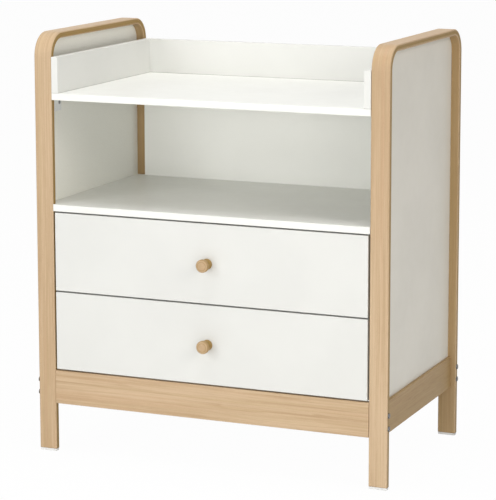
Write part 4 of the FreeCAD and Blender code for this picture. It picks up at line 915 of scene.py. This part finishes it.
class SetStudio(bpy.types.Operator):
    """Set the pale floor, the white room, the soft lamps and the camera"""

    bl_idname = "dresser.set_studio"
    bl_label = "Studio"

    def execute(self, context):
        studio = context.scene.dresser.studio
        self.floor(context, studio)
        self.room(context, studio)
        self.lamps(context, studio)
        self.camera(context, studio)
        context.scene.view_settings.view_transform = "Standard"
        return {"FINISHED"}

    def seen(self, finish):
        """1 for what the camera sees straight, in a reflection or through glass."""
        kinds = ("Is Camera Ray", "Is Glossy Ray", "Is Transmission Ray")
        straight, mirrored, through_glass = (finish.node("LightPath", output=kind) for kind in kinds)
        return straight.maths("MAXIMUM", mirrored).maths("MAXIMUM", through_glass)

    def floor(self, context, studio):
        """A wide floor of pale paper that looks almost plain white and still takes the shadows."""
        sheet = bmesh.new()
        bmesh.ops.create_grid(sheet, x_segments=8, y_segments=8, size=FLOOR_REACH)
        mesh = bpy.data.meshes.new("studio_floor")
        sheet.to_mesh(mesh)
        sheet.free()
        floor = bpy.data.objects.new("studio_floor", mesh)
        floor.location.z = CAD_BOX[0][2] - FLOOR_DROP
        context.scene.collection.objects.link(floor)
        finish = Finish("studio_floor")
        paper = finish.noise(finish.vector(*finish.place()), 3.0, 3)
        tone = finish.mix(paper * 0.2, studio.floor, shaded(studio.floor, 0.97))
        inputs = {"Base Color": tone, "Roughness": 0.9, "Specular IOR Level": 0.0}
        matt = finish.node("BsdfPrincipled", inputs=inputs)
        white = finish.node("Emission", inputs=PLAIN_WHITE)
        both = finish.node("MixShader", inputs={0: self.seen(finish) * FLOOR_GLOW, 1: matt, 2: white})
        finish.node("OutputMaterial", inputs={0: both})
        mesh.materials.append(finish.owner)

    def room(self, context, studio):
        """A room that is plain white where it is seen and gives a weaker, even light."""
        finish = Finish("white_room", "worlds")
        light = finish.node("Background", inputs={**PLAIN_WHITE, "Strength": studio.sky})
        white = finish.node("Background", inputs=PLAIN_WHITE)
        both = finish.node("MixShader", inputs={0: self.seen(finish), 1: light, 2: white})
        finish.node("OutputWorld", inputs={0: both})
        context.scene.world = finish.owner

    def lamps(self, context, studio):
        """Soft round lamps, turned to the middle of the dresser."""
        for name, (place, size) in LAMPS.items():
            lamp = bpy.data.lights.new(name + "_lamp", "AREA")
            lamp.shape = "DISK"
            lamp.size = size
            lamp.energy = getattr(studio, name)
            lamp.color = studio.warmth if name == "side" else WHITE_LIGHT
            holder = bpy.data.objects.new(name + "_lamp", lamp)
            holder.location = place
            holder.visible_camera = False
            holder.rotation_euler = (LAMP_TARGET - Vector(place)).to_track_quat("-Z", "Y").to_euler()
            context.scene.collection.objects.link(holder)

    def camera(self, context, studio):
        """The photograph's camera, solved together with the dresser's proportions."""
        lens = bpy.data.cameras.new("product_camera")
        lens.sensor_width = SENSOR_WIDTH
        lens.lens = studio.lens
        lens.shift_y = studio.rise
        lens.clip_end = FAR_CLIP
        holder = bpy.data.objects.new("product_camera", lens)
        level = Matrix.Rotation(studio.turn, 4, "Z") @ Matrix.Rotation(math.pi / 2 - studio.tilt, 4, "X")
        holder.matrix_world = Matrix.Translation(studio.place) @ level @ Matrix.Rotation(-studio.roll, 4, "Z")
        context.scene.collection.objects.link(holder)
        context.scene.camera = holder


STEPS = (
    FinishHoops,
    FinishRails,
    FinishKnobs,
    FinishBoards,
    FinishPanels,
    FinishDrawerBoxes,
    FinishFittings,
    ThreadScrews,
    FluteDowels,
    SetStudio,
)


class DresserPanel(bpy.types.Panel):
    """Lists the dresser's steps and settings in the sidebar"""

    bl_idname = "VIEW3D_PT_changing_dresser"
    bl_label = "Changing Dresser"
    bl_space_type = "VIEW_3D"
    bl_region_type = "UI"
    bl_category = "Dresser"

    def draw(self, context):
        for step in STEPS:
            self.layout.operator(step.bl_idname)
        settings = context.scene.dresser
        for group in (settings.beech, settings.white, settings.hardware, settings.studio):
            box = self.layout.box()
            for name in group.__annotations__:
                box.prop(group, name)


GROUPS = (BeechSettings, WhiteSettings, HardwareSettings, StudioSettings, DresserSettings)


def register():
    for kind in (*GROUPS, *STEPS, DresserPanel):
        bpy.utils.register_class(kind)
    bpy.types.Scene.dresser = PointerProperty(type=DresserSettings)


def unregister():
    del bpy.types.Scene.dresser
    for kind in reversed((*GROUPS, *STEPS, DresserPanel)):
        bpy.utils.unregister_class(kind)


def main():
    """Runs every step in order."""
    register()
    for step in STEPS:
        group, name = step.bl_idname.split(".")
        getattr(getattr(bpy.ops, group), name)()


if __name__ == "__main__":
    main()
